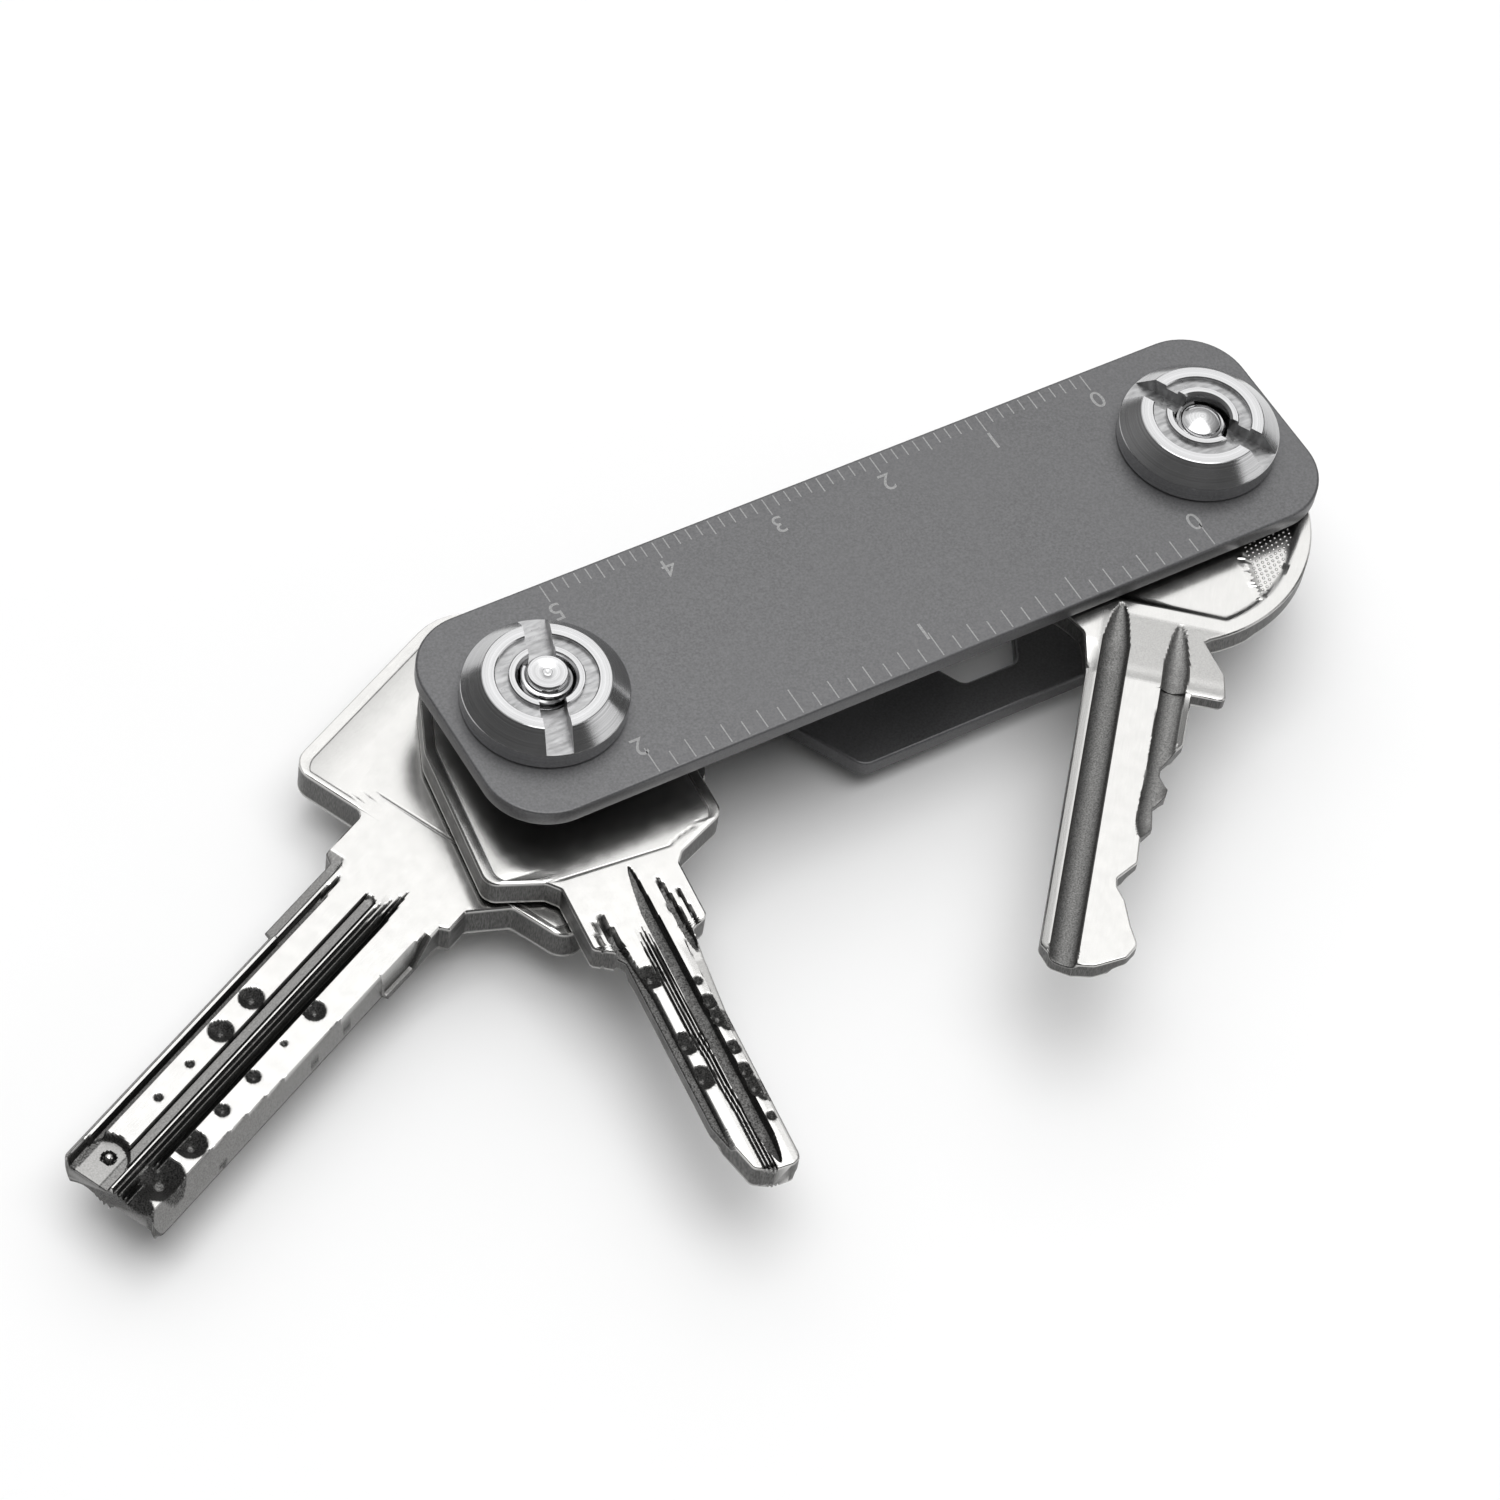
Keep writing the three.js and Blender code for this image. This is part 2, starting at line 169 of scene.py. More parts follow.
def turned_mesh(profile, steps=TURNED_STEPS):
    """A solid of revolution about Z from a profile of (radius, height)."""
    solid = bmesh.new()
    points = [solid.verts.new((radius, 0, height)) for radius, height in profile]
    lines = [solid.edges.new(pair) for pair in zip(points, points[1:])]
    bmesh.ops.spin(
        solid, geom=points + lines, cent=(0, 0, 0), axis=(0, 0, 1), angle=math.tau, steps=steps
    )
    bmesh.ops.remove_doubles(solid, verts=solid.verts, dist=1e-4)
    bmesh.ops.recalc_face_normals(solid, faces=solid.faces)
    return mesh_of(solid, "turned")


def box_mesh(low, high):
    solid = bmesh.new()
    bmesh.ops.create_cube(solid, size=1)
    size = Vector(high) - Vector(low)
    middle = (Vector(high) + Vector(low)) / 2
    solid.transform(Matrix.Translation(middle) @ Matrix.Diagonal((*size, 1)))
    return mesh_of(solid, "box")


def cut(mesh, tool):
    """The mesh with a tool's mesh cut from it."""
    host, helper = linked("host", mesh), linked("tool", tool)
    modifier = host.modifiers.new("cut", "BOOLEAN")
    modifier.operation = "DIFFERENCE"
    modifier.solver = "EXACT"
    modifier.object = helper
    result = evaluated_mesh(host)
    for used in (host, helper):
        bpy.data.objects.remove(used)
    if len(result.polygons) == 0:
        raise RuntimeError("a cut left nothing of its mesh")
    return result


def arc(centre, radius, start, end, steps):
    """Points along an arc, with its angles in degrees."""
    angles = np.radians(np.linspace(start, end, steps + 1))
    return [(centre[0] + radius * math.cos(a), centre[1] + radius * math.sin(a)) for a in angles]


def rounded(corners, steps=8, closed=True):
    """An outline through corners of (x, y, fillet radius), the fillets as short chords."""
    points = []
    last = len(corners) - 1
    for i, (x, y, radius) in enumerate(corners):
        if radius == 0 or (not closed and i in (0, last)):
            points.append((x, y))
            continue
        corner = Vector((x, y))
        before = (Vector(corners[i - 1][:2]) - corner).normalized()
        after = (Vector(corners[(i + 1) % len(corners)][:2]) - corner).normalized()
        half = before.angle(after) / 2
        middle = corner + (before + after).normalized() * (radius / math.sin(half))
        first = corner + before * (radius / math.tan(half)) - middle
        final = corner + after * (radius / math.tan(half)) - middle
        sweep = first.angle_signed(final)
        for step in range(steps + 1):
            turn = Matrix.Rotation(-sweep * step / steps, 2)
            points.append(tuple(middle + turn @ first))
    return points


def flat_mesh(outlines, thickness, edge):
    """A flat plate from z 0 up, with holes where outlines lie inside others and rounded edges."""
    curve = bpy.data.curves.new("flat", "CURVE")
    curve.dimensions = "2D"
    curve.fill_mode = "BOTH"
    curve.extrude = thickness / 2 - edge
    curve.bevel_depth = edge
    curve.bevel_resolution = 2
    curve.offset = -edge
    for outline in outlines:
        spline = curve.splines.new("POLY")
        spline.points.add(len(outline) - 1)
        for point, (x, y) in zip(spline.points, outline):
            point.co = (x, y, 0, 1)
        spline.use_cyclic_u = True
    piece = linked("flat", curve)
    mesh = evaluated_mesh(piece)
    bpy.data.objects.remove(piece)
    mesh.transform(Matrix.Translation((0, 0, thickness / 2)))
    return mesh


def text_mesh(text, height):
    """A flat figure with its middle at the origin."""
    curve = bpy.data.curves.new("figure", "FONT")
    curve.body = text
    piece = linked("figure", curve)
    mesh = evaluated_mesh(piece)
    bpy.data.objects.remove(piece)
    corners = np.array([v.co for v in mesh.vertices])
    low, high = corners.min(axis=0), corners.max(axis=0)
    scale = height / (high[1] - low[1])
    middle = (low + high) / 2
    mesh.transform(Matrix.Scale(scale, 4) @ Matrix.Translation((-middle[0], -middle[1], 0)))
    return mesh


# ---- Geometry Nodes --------------------------------------------------------------------------


class NodeTree:
    """A geometry node tree under construction, with named inputs for its sizes."""

    def __init__(self, name, inputs):
        self.tree = bpy.data.node_groups.new(name, "GeometryNodeTree")
        sockets = self.tree.interface
        sockets.new_socket(name="Geometry", in_out="OUTPUT", socket_type="NodeSocketGeometry")
        self.identifiers = {}
        for label, (kind, value) in inputs.items():
            socket = sockets.new_socket(name=label, in_out="INPUT", socket_type=kind)
            if kind != "NodeSocketMaterial":
                socket.default_value = value
            self.identifiers[label] = socket.identifier
        self.values = {label: value for label, (kind, value) in inputs.items()}
        self.group_input = self.tree.nodes.new("NodeGroupInput")

    def input(self, label):
        return self.group_input.outputs[label]

    def node(self, kind, settings=(), **links):
        """A node, its own settings, and what its inputs are set to or linked from."""
        node = self.tree.nodes.new(kind)
        for key, value in dict(settings).items():
            setattr(node, key, value)
        for key, value in links.items():
            socket = self.socket(node, key)
            if isinstance(value, bpy.types.NodeSocket):
                self.tree.links.new(value, socket)
            else:
                socket.default_value = value
        return node

    def socket(self, node, key):
        """An input by its place, as in_0, or by its name with underscores for spaces."""
        if key.startswith("in_"):
            return node.inputs[int(key[3:])]
        return node.inputs[key.replace("_", " ")]

    def math(self, operation, first, second=0.0):
        node = self.node("ShaderNodeMath", {"operation": operation}, in_0=first, in_1=second)
        return node.outputs[0]

    def vector(self, x=0.0, y=0.0, z=0.0):
        return self.node("ShaderNodeCombineXYZ", X=x, Y=y, Z=z).outputs[0]

    def grown(self, geometry):
        """Ends the tree and returns the mesh that it makes."""
        real = self.node("GeometryNodeRealizeInstances", Geometry=geometry)
        painted = self.node(
            "GeometryNodeSetMaterial", Geometry=real.outputs[0], Material=self.input("Material")
        )
        end = self.tree.nodes.new("NodeGroupOutput")
        self.tree.links.new(painted.outputs[0], end.inputs["Geometry"])
        host = linked("host", bpy.data.meshes.new("host"))
        modifier = host.modifiers.new("grow", "NODES")
        modifier.node_group = self.tree
        for label, identifier in self.identifiers.items():
            modifier[identifier] = self.values[label]
        mesh = evaluated_mesh(host)
        bpy.data.objects.remove(host)
        if len(mesh.polygons) == 0:
            raise RuntimeError(f"{self.tree.name} made nothing")
        return mesh


FLOAT = "NodeSocketFloat"
INTEGER = "NodeSocketInt"
MATERIAL = "NodeSocketMaterial"


def tick_marks(count, pitch, sizes, long_every, middle_every, width, material):
    """A row of scale marks from the origin along +X, each growing along +Y from its edge.
    sizes are the lengths of the long, middle and short marks."""
    grow = NodeTree("Scale marks", {
        "Marks": (INTEGER, count),
        "Pitch": (FLOAT, pitch),
        "Long": (FLOAT, sizes[0]),
        "Middle": (FLOAT, sizes[1]),
        "Short": (FLOAT, sizes[2]),
        "Width": (FLOAT, width),
        "Material": (MATERIAL, material),
    })
    line = grow.node(
        "GeometryNodeMeshLine", Count=grow.input("Marks"), Offset=grow.vector(x=grow.input("Pitch"))
    )
    index = grow.node("GeometryNodeInputIndex").outputs[0]
    is_long = grow.math("COMPARE", grow.math("MODULO", index, float(long_every)))
    is_middle = grow.math("COMPARE", grow.math("MODULO", index, float(middle_every)))
    middle_or_short = grow.math("ADD", grow.math(
        "MULTIPLY", is_middle, grow.math("SUBTRACT", grow.input("Middle"), grow.input("Short"))
    ), grow.input("Short"))
    length = grow.math("ADD", grow.math(
        "MULTIPLY", is_long, grow.math("SUBTRACT", grow.input("Long"), middle_or_short)
    ), middle_or_short)
    mark = grow.node("GeometryNodeMeshGrid", Vertices_X=2, Vertices_Y=2)
    raised = grow.node("GeometryNodeTransform", Geometry=mark.outputs[0], Translation=(0, 0.5, 0))
    row = grow.node(
        "GeometryNodeInstanceOnPoints", Points=line.outputs[0], Instance=raised.outputs[0],
        Scale=grow.vector(grow.input("Width"), length, 1.0),
    )
    return grow.grown(row.outputs[0])


def ring_mesh(inner, outer, height, edge, material, steps=96):
    """A flat ring from z 0 up, its section a rectangle with rounded corners."""
    grow = NodeTree("Flat ring", {
        "Inner radius": (FLOAT, inner),
        "Outer radius": (FLOAT, outer),
        "Height": (FLOAT, height),
        "Edge radius": (FLOAT, edge),
        "Steps": (INTEGER, steps),
        "Material": (MATERIAL, material),
    })
    total = grow.math("ADD", grow.input("Inner radius"), grow.input("Outer radius"))
    wall = grow.math("SUBTRACT", grow.input("Outer radius"), grow.input("Inner radius"))
    path = grow.node(
        "GeometryNodeCurvePrimitiveCircle", Resolution=grow.input("Steps"),
        Radius=grow.math("MULTIPLY", total, 0.5),
    )
    section = grow.node(
        "GeometryNodeCurvePrimitiveQuadrilateral", Width=grow.input("Height"), Height=wall
    )
    eased = grow.node(
        "GeometryNodeFilletCurve", {"mode": "POLY"}, Curve=section.outputs[0], Count=2,
        Radius=grow.input("Edge radius"), Limit_Radius=True,
    )
    swept = grow.node("GeometryNodeCurveToMesh", Curve=path.outputs[0], Profile_Curve=eased.outputs[0])
    lift = grow.vector(z=grow.math("MULTIPLY", grow.input("Height"), 0.5))
    raised = grow.node("GeometryNodeTransform", Geometry=swept.outputs[0], Translation=lift)
    return faced_outwards(grow.grown(raised.outputs[0]))


def thread_mesh(radius, pitch, depth, length, material):
    """The crest of a screw thread from z 0 up, around a core that it sits on."""
    grow = NodeTree("Screw thread", {
        "Radius": (FLOAT, radius),
        "Pitch": (FLOAT, pitch),
        "Depth": (FLOAT, depth),
        "Length": (FLOAT, length),
        "Steps per turn": (INTEGER, 40),
        "Material": (MATERIAL, material),
    })
    turns = grow.math("DIVIDE", grow.input("Length"), grow.input("Pitch"))
    middle = grow.math("SUBTRACT", grow.input("Radius"), grow.math("MULTIPLY", grow.input("Depth"), 0.55))
    helix = grow.node(
        "GeometryNodeCurveSpiral", Resolution=grow.input("Steps per turn"), Rotations=turns,
        Start_Radius=middle, End_Radius=middle, Height=grow.input("Length"),
    )
    crest = grow.node(
        "GeometryNodeCurvePrimitiveCircle", Resolution=6,
        Radius=grow.math("MULTIPLY", grow.input("Depth"), 0.6),
    )
    swept = grow.node(
        "GeometryNodeCurveToMesh", Curve=helix.outputs[0], Profile_Curve=crest.outputs[0],
        Fill_Caps=True,
    )
    return grow.grown(swept.outputs[0])


def stipple_mesh(across, along, spacing, radius, material):
    """A patch of small round bumps in staggered rows, centred on the origin."""
    grow = NodeTree("Stipple", {
        "Across": (FLOAT, across),
        "Along": (FLOAT, along),
        "Spacing": (FLOAT, spacing),
        "Bump radius": (FLOAT, radius),
        "Material": (MATERIAL, material),
    })
    columns = grow.math("DIVIDE", grow.input("Across"), grow.input("Spacing"))
    rows = grow.math("DIVIDE", grow.input("Along"), grow.input("Spacing"))
    patch = grow.node(
        "GeometryNodeMeshGrid", Size_X=grow.input("Across"), Size_Y=grow.input("Along"),
        Vertices_X=columns, Vertices_Y=rows,
    )
    index = grow.node("GeometryNodeInputIndex").outputs[0]
    shift = grow.math("MULTIPLY", grow.math("MODULO", index, 2.0), 0.5)
    stagger = grow.vector(x=grow.math("MULTIPLY", shift, grow.input("Spacing")))
    offset = grow.node("GeometryNodeSetPosition", Geometry=patch.outputs[0], Offset=stagger)
    bump = grow.node(
        "GeometryNodeMeshIcoSphere", Radius=grow.input("Bump radius"), Subdivisions=2
    )
    dots = grow.node(
        "GeometryNodeInstanceOnPoints", Points=offset.outputs[0], Instance=bump.outputs[0],
        Scale=(1, 1, 0.6),
    )
    return grow.grown(dots.outputs[0])


# ---- Materials -------------------------------------------------------------------------------


class Finish:
    """A material under construction around one principled shader."""

    def __init__(self, name, colour, metallic, roughness):
        self.material = bpy.data.materials.new(name)
        self.material.use_nodes = True
        self.tree = self.material.node_tree
        self.shader = self.tree.nodes["Principled BSDF"]
        self.shader.inputs["Base Color"].default_value = (*colour, 1)
        self.shader.inputs["Metallic"].default_value = metallic
        self.shader.inputs["Roughness"].default_value = roughness
        self.place = self.tree.nodes.new("ShaderNodeTexCoord").outputs["Object"]

    def link(self, output, socket):
        self.tree.links.new(output, socket)

    def stretched(self, scale, centre=(0, 0, 0), place=None):
        """Coordinates, the object's own if none are given, about a centre and scaled."""
        moved = self.tree.nodes.new("ShaderNodeVectorMath")
        moved.operation = "SUBTRACT"
        moved.inputs[1].default_value = centre
        self.link(place or self.place, moved.inputs[0])
        sized = self.tree.nodes.new("ShaderNodeVectorMath")
        sized.operation = "MULTIPLY"
        sized.inputs[1].default_value = scale
        self.link(moved.outputs[0], sized.inputs[0])
        return sized.outputs[0]

    def turning(self, centre, scale):
        """Coordinates that run out from an axis and along it, so that a noise makes rings."""
        moved = self.stretched((1, 1, 1), centre)
        split = self.tree.nodes.new("ShaderNodeSeparateXYZ")
        self.link(moved, split.inputs[0])
        squares = [self.math("MULTIPLY", split.outputs[i], split.outputs[i]) for i in (0, 1)]
        radius = self.math("SQRT", self.math("ADD", *squares))
        joined_up = self.tree.nodes.new("ShaderNodeCombineXYZ")
        self.link(self.math("MULTIPLY", radius, scale), joined_up.inputs[0])
        self.link(self.math("MULTIPLY", split.outputs[2], scale), joined_up.inputs[1])
        return joined_up.outputs[0]

    def math(self, operation, first, second=0.0):
        node = self.tree.nodes.new("ShaderNodeMath")
        node.operation = operation
        for socket, value in zip(node.inputs, (first, second)):
            if isinstance(value, bpy.types.NodeSocket):
                self.link(value, socket)
            else:
                socket.default_value = value
        return node.outputs[0]

    def noise(self, scale, detail=3, vector=None):
        node = self.tree.nodes.new("ShaderNodeTexNoise")
        node.inputs["Scale"].default_value = scale
        node.inputs["Detail"].default_value = detail
        self.link(vector or self.place, node.inputs["Vector"])
        return node.outputs["Fac"]

    def between(self, value, low, high, start=0.3, end=0.7):
        """The value, mapped from its usual spread to a range."""
        node = self.tree.nodes.new("ShaderNodeMapRange")
        node.inputs["From Min"].default_value = start
        node.inputs["From Max"].default_value = end
        node.inputs["To Min"].default_value = low
        node.inputs["To Max"].default_value = high
        self.link(value, node.inputs["Value"])
        return node.outputs[0]

    def mixed(self, factor, first, second):
        """A colour between two, each a plain colour or another node's output."""
        node = self.tree.nodes.new("ShaderNodeMix")
        node.data_type = "RGBA"
        self.link(factor, node.inputs["Factor"])
        for socket, value in zip((node.inputs[6], node.inputs[7]), (first, second)):
            if isinstance(value, bpy.types.NodeSocket):
                self.link(value, socket)
            else:
                socket.default_value = (*value, 1)
        return node.outputs[2]

    def attribute(self, name):
        node = self.tree.nodes.new("ShaderNodeAttribute")
        node.attribute_name = name
        return node.outputs["Fac"]

    def colour(self, output):
        self.link(output, self.shader.inputs["Base Color"])

    def roughness(self, output):
        self.link(output, self.shader.inputs["Roughness"])

    def bump(self, height, depth, strength=1.0):
        """A bump of a real depth in metres."""
        node = self.tree.nodes.new("ShaderNodeBump")
        node.inputs["Distance"].default_value = depth
        node.inputs["Strength"].default_value = strength
        self.link(height, node.inputs["Height"])
        self.link(node.outputs[0], self.shader.inputs["Normal"])


def shaded(colour, factor):
    return tuple(channel * factor for channel in colour)


def anodised_finish(name, colour):
    """Fine matt anodising: a close grain, faint cloudiness and a soft sheen."""
    finish = Finish(name, colour, 0.7, 0.42)
    grain = finish.noise(5200, 5)
    cloud = finish.noise(120, 3)
    speckled = finish.mixed(finish.between(grain, 0, 1), shaded(colour, 0.8), shaded(colour, 1.2))
    clouded = finish.mixed(finish.between(cloud, 0, 0.35), speckled, shaded(colour, 1.25))
    finish.colour(clouded)
    finish.roughness(finish.between(cloud, 0.38, 0.46))
    finish.bump(grain, 0.000012, 0.6)
    return finish.material


def marking_finish(name, colour):
    """Laser marking: pale, dry and slightly broken."""
    finish = Finish(name, colour, 0.1, 0.75)
    grain = finish.noise(7000, 4)
    finish.colour(finish.mixed(finish.between(grain, 0, 1), shaded(colour, 0.7), shaded(colour, 1.15)))
    finish.bump(grain, 0.00001, 0.5)
    return finish.material


def turned_finish(name, colour, axis_x):
    """Steel turned on a lathe: fine rings about the post's axis."""
    finish = Finish(name, colour, 1.0, 0.2)
    rings = finish.noise(1.0, 4, finish.turning((axis_x * MM, 0, 0), 9000))
    smudge = finish.noise(600, 3)
    finish.colour(finish.mixed(finish.between(rings, 0, 1), shaded(colour, 0.82), shaded(colour, 1.08)))
    finish.roughness(finish.between(smudge, 0.13, 0.2))
    finish.bump(rings, 0.000006, 0.5)
    return finish.material


def milled_finish(name, colour):
    """Steel cut by a mill: short marks across a slot, and scuffs from coins, all painted darker than the
    turned steel as painted shade in the slot and the groove.
    """
    finish = Finish(name, colour, 1.0, 0.32)
    marks = finish.noise(3200, 5)
    scuffs = finish.noise(1.0, 3, finish.stretched((700, 2600, 700)))
    # Painted shade: the whole range lies well below the steel's colour, and the scuffs vary it.
    finish.colour(finish.mixed(finish.between(scuffs, 0, 1), shaded(colour, 0.45), shaded(colour, 0.8)))
    finish.roughness(finish.between(marks, 0.26, 0.45))
    finish.bump(marks, 0.00002, 0.5)
    return finish.material


def key_finish(name, colour, turn):
    """Polished nickel silver. The cut attribute holds, from 0 to 1, the painted shade of the places that
    were milled or lined, and the flank attribute marks the flanks, where the blank was cut out; both are
    duller than the faces, and both are painted darker than them as painted shade."""
    finish = Finish(name, colour, 1.0, 0.2)
    along_blade = finish.tree.nodes.new("ShaderNodeVectorRotate")
    along_blade.rotation_type = "Z_AXIS"
    along_blade.inputs["Angle"].default_value = -math.radians(turn)
    finish.link(finish.place, along_blade.inputs["Vector"])
    streaks = finish.stretched((900, 14000, 2000), place=along_blade.outputs[0])
    drawn = finish.noise(1.0, 3, streaks)
    scuffs = finish.noise(900, 5)
    grain = finish.noise(8000, 4)
    milled_and_shaded = finish.attribute("cut")
    flank = finish.attribute("flank")
    polished = finish.mixed(finish.between(scuffs, 0, 1), shaded(colour, 0.97), shaded(colour, 1.02))
    polished = finish.mixed(finish.between(drawn, 0, 0.25), polished, shaded(colour, 0.85))
    # Painted shade: milled and lined places turn nearly black.
    painted_shade_colour = finish.mixed(finish.between(grain, 0, 1), shaded(colour, 0.03), shaded(colour, 0.26))
    # Painted shade on the flanks, which are made darker than the faces.
    painted_flank_shade = finish.mixed(finish.between(drawn, 0, 1), shaded(colour, 0.1), shaded(colour, 0.26))
    finish.colour(finish.mixed(flank, finish.mixed(milled_and_shaded, polished, painted_shade_colour), painted_flank_shade))
    dull = finish.math("MAXIMUM", milled_and_shaded, flank)
    worn = finish.between(scuffs, 0.17, 0.22)
    finish.roughness(finish.math("ADD", worn, finish.math("MULTIPLY", dull, 0.22)))
    fine_lines = finish.math("MULTIPLY", drawn, 0.2)
    height = finish.math("ADD", finish.math("MULTIPLY", grain, dull), fine_lines)
    finish.bump(height, 0.00003, 0.5)
    return finish.material


def nylon_finish(name, colour):
    """Moulded nylon with a close, dry grain."""
    finish = Finish(name, colour, 0.0, 0.5)
    grain = finish.noise(5000, 4)
    finish.roughness(finish.between(grain, 0.42, 0.6))
    finish.bump(grain, 0.00001, 0.4)
    return finish.material


def floor_finish(name, colour):
    """Plain matt paper."""
    finish = Finish(name, colour, 0.0, 0.85)
    paper = finish.noise(40, 4)
    finish.colour(finish.mixed(finish.between(paper, 0, 1), shaded(colour, 0.99), colour))
    return finish.material


def material(name, make, *details):
    """The material of that name, made the first time that a piece asks for it."""
    return bpy.data.materials.get(name) or make(name, *details)


# ---- Settings --------------------------------------------------------------------------------


class OrganiserSettings(bpy.types.PropertyGroup):
    plate_colour: bpy.props.FloatVectorProperty(
        name="Plate colour", description="Colour of the anodised plates",
        subtype="COLOR", size=3, min=0, max=1, default=(0.122, 0.122, 0.125),
    )
    mark_colour: bpy.props.FloatVectorProperty(
        name="Scale colour", description="Colour of the scales' marks and figures",
        subtype="COLOR", size=3, min=0, max=1, default=(0.34, 0.34, 0.34),
    )
    steel_colour: bpy.props.FloatVectorProperty(
        name="Steel colour", description="Colour of the nuts, posts and spacers",
        subtype="COLOR", size=3, min=0, max=1, default=(0.53, 0.53, 0.535),
    )
    key_colour: bpy.props.FloatVectorProperty(
        name="Key colour", description="Colour of the keys' polished faces",
        subtype="COLOR", size=3, min=0, max=1, default=(0.58, 0.575, 0.563),
    )
    nylon_colour: bpy.props.FloatVectorProperty(
        name="Washer colour", description="Colour of the nylon washers",
        subtype="COLOR", size=3, min=0, max=1, default=(0.02, 0.02, 0.022),
    )
    floor_colour: bpy.props.FloatVectorProperty(
        name="Floor colour", description="Colour of the floor",
        subtype="COLOR", size=3, min=0, max=1, default=(0.9, 0.9, 0.9),
    )
    plate_edge: bpy.props.FloatProperty(
        name="Plate edge", description="Radius of the plates' broken edges, in millimetres",
        min=0.05, max=0.5, default=0.2,
    )
    mark_width: bpy.props.FloatProperty(
        name="Mark width", description="Width of the scales' marks, in millimetres",
        min=0.03, max=0.4, default=0.11,
    )
    figure_height: bpy.props.FloatProperty(
        name="Figure height", description="Height of the scales' figures, in millimetres",
        min=0.8, max=3, default=1.65,
    )
    slot_width: bpy.props.FloatProperty(
        name="Coin slot", description="Width of the nuts' coin slots, in millimetres",
        min=1, max=3, default=2.1,
    )


# ---- Plates ----------------------------------------------------------------------------------

# In millimetres, from the middle of the plates and from their near edge.

CORNER_RADIUS = 5.2
SIDE_SLANT = 0.53      # how far the notch's and window's sides lean for each millimetre
NOTCH_DEPTH = 7.2
NOTCH_MOUTH = 14.8
NOTCH_MIDDLE = -13.2
NOTCH_FILLET = 1.5
WINDOW_STRIP = 3.55
WINDOW_NEAR_WIDTH = 5.0
WINDOW_DEPTH = 8.4
WINDOW_MIDDLE = 8.2
WINDOW_FILLET = 0.9

MARK_LIFT = 0.006      # how far the marks stand clear of the plate
MARK_INSET = 0.3       # from the plate's edge to the marks
CM_ZERO = 25.0
CENTIMETRE = 10
INCH = 25.4
CM_MARKS = (1.7, 1.45, 1.1)
INCH_MARKS = (2.4, 1.8, 1.35)
FIGURE_DISTANCE = 3.05
INCH_FIGURE_SHIFT = (0.25, 0.1)
COLLAR_CLEARANCE = 0.1


def plate_corners(low, high):
    return [
        (low.x, low.y, CORNER_RADIUS), (high.x, low.y, CORNER_RADIUS),
        (high.x, high.y, CORNER_RADIUS), (low.x, high.y, CORNER_RADIUS),
    ]


def circle(x, radius, steps=72):
    return arc((x, 0), radius, 0, 360, steps)[:-1]


def flatted_circle(x, radius, half_flat, steps=20):
    """A round outline with a flat on its near and far side."""
    corner = math.degrees(math.asin(half_flat / radius))
    right = arc((x, 0), radius, -corner, corner, steps)
    left = arc((x, 0), radius, 180 - corner, 180 + corner, steps)
    return right + left


class ORGANISER_OT_top_plate(bpy.types.Operator):
    """Builds the top plate with its centimetre and inch scales"""
    bl_idname = "organiser.top_plate"
    bl_label = "Top plate"

    def execute(self, context):
        settings = context.scene.organiser
        low, high = TOP_PLATE_LOW, TOP_PLATE_HIGH
        anodised = material("grey_anodising", anodised_finish, settings.plate_colour)
        outlines = [rounded(plate_corners(low, high), 16)]
        outlines += [circle(x, THREAD_RADIUS + BORE_CLEARANCE) for x in (LEFT_POST, RIGHT_POST)]
        plate = flat_mesh(outlines, high.z - low.z, settings.plate_edge)
        shade(plate)
        placed(plate, z=low.z)
        add_piece("top_plate_body", plate, "chassis", ["top_plate"], [anodised])

        marking = material("laser_marking", marking_finish, settings.mark_colour)
        cm_marks = tick_marks(51, 1.0, CM_MARKS, 10, 5, settings.mark_width, marking)
        cm_marks.transform(Matrix.Translation((PLATE_MIDDLE + CM_ZERO, high.y - MARK_INSET, 0))
                           @ Matrix.Rotation(math.pi, 4, "Z"))
        inch_marks = tick_marks(33, INCH / 16, INCH_MARKS, 8, 2, settings.mark_width, marking)
        inch_marks.transform(Matrix.Translation((PLATE_MIDDLE - INCH, low.y + MARK_INSET, 0)))
        figures = []
        for number in range(6):
            x = PLATE_MIDDLE + CM_ZERO - CENTIMETRE * number
            figures.append((str(number), x, high.y - FIGURE_DISTANCE))
        for number in range(3):
            x = PLATE_MIDDLE + INCH * (1 - number)
            shift_x, shift_y = INCH_FIGURE_SHIFT
            figures.append((str(number), x - shift_x, low.y + FIGURE_DISTANCE - shift_y))
        meshes = [cm_marks, inch_marks]
        for text, x, y in figures:
            figure = text_mesh(text, settings.figure_height)
            turn = Matrix.Rotation(math.pi, 4, "Z")
            figure.transform(Matrix.Translation((x, y, 0)) @ turn)
            meshes.append(figure)
        scales = placed(joined(meshes), z=high.z + MARK_LIFT)
        add_piece("top_plate_scales", scales, "chassis", [], [marking])
        return {"FINISHED"}


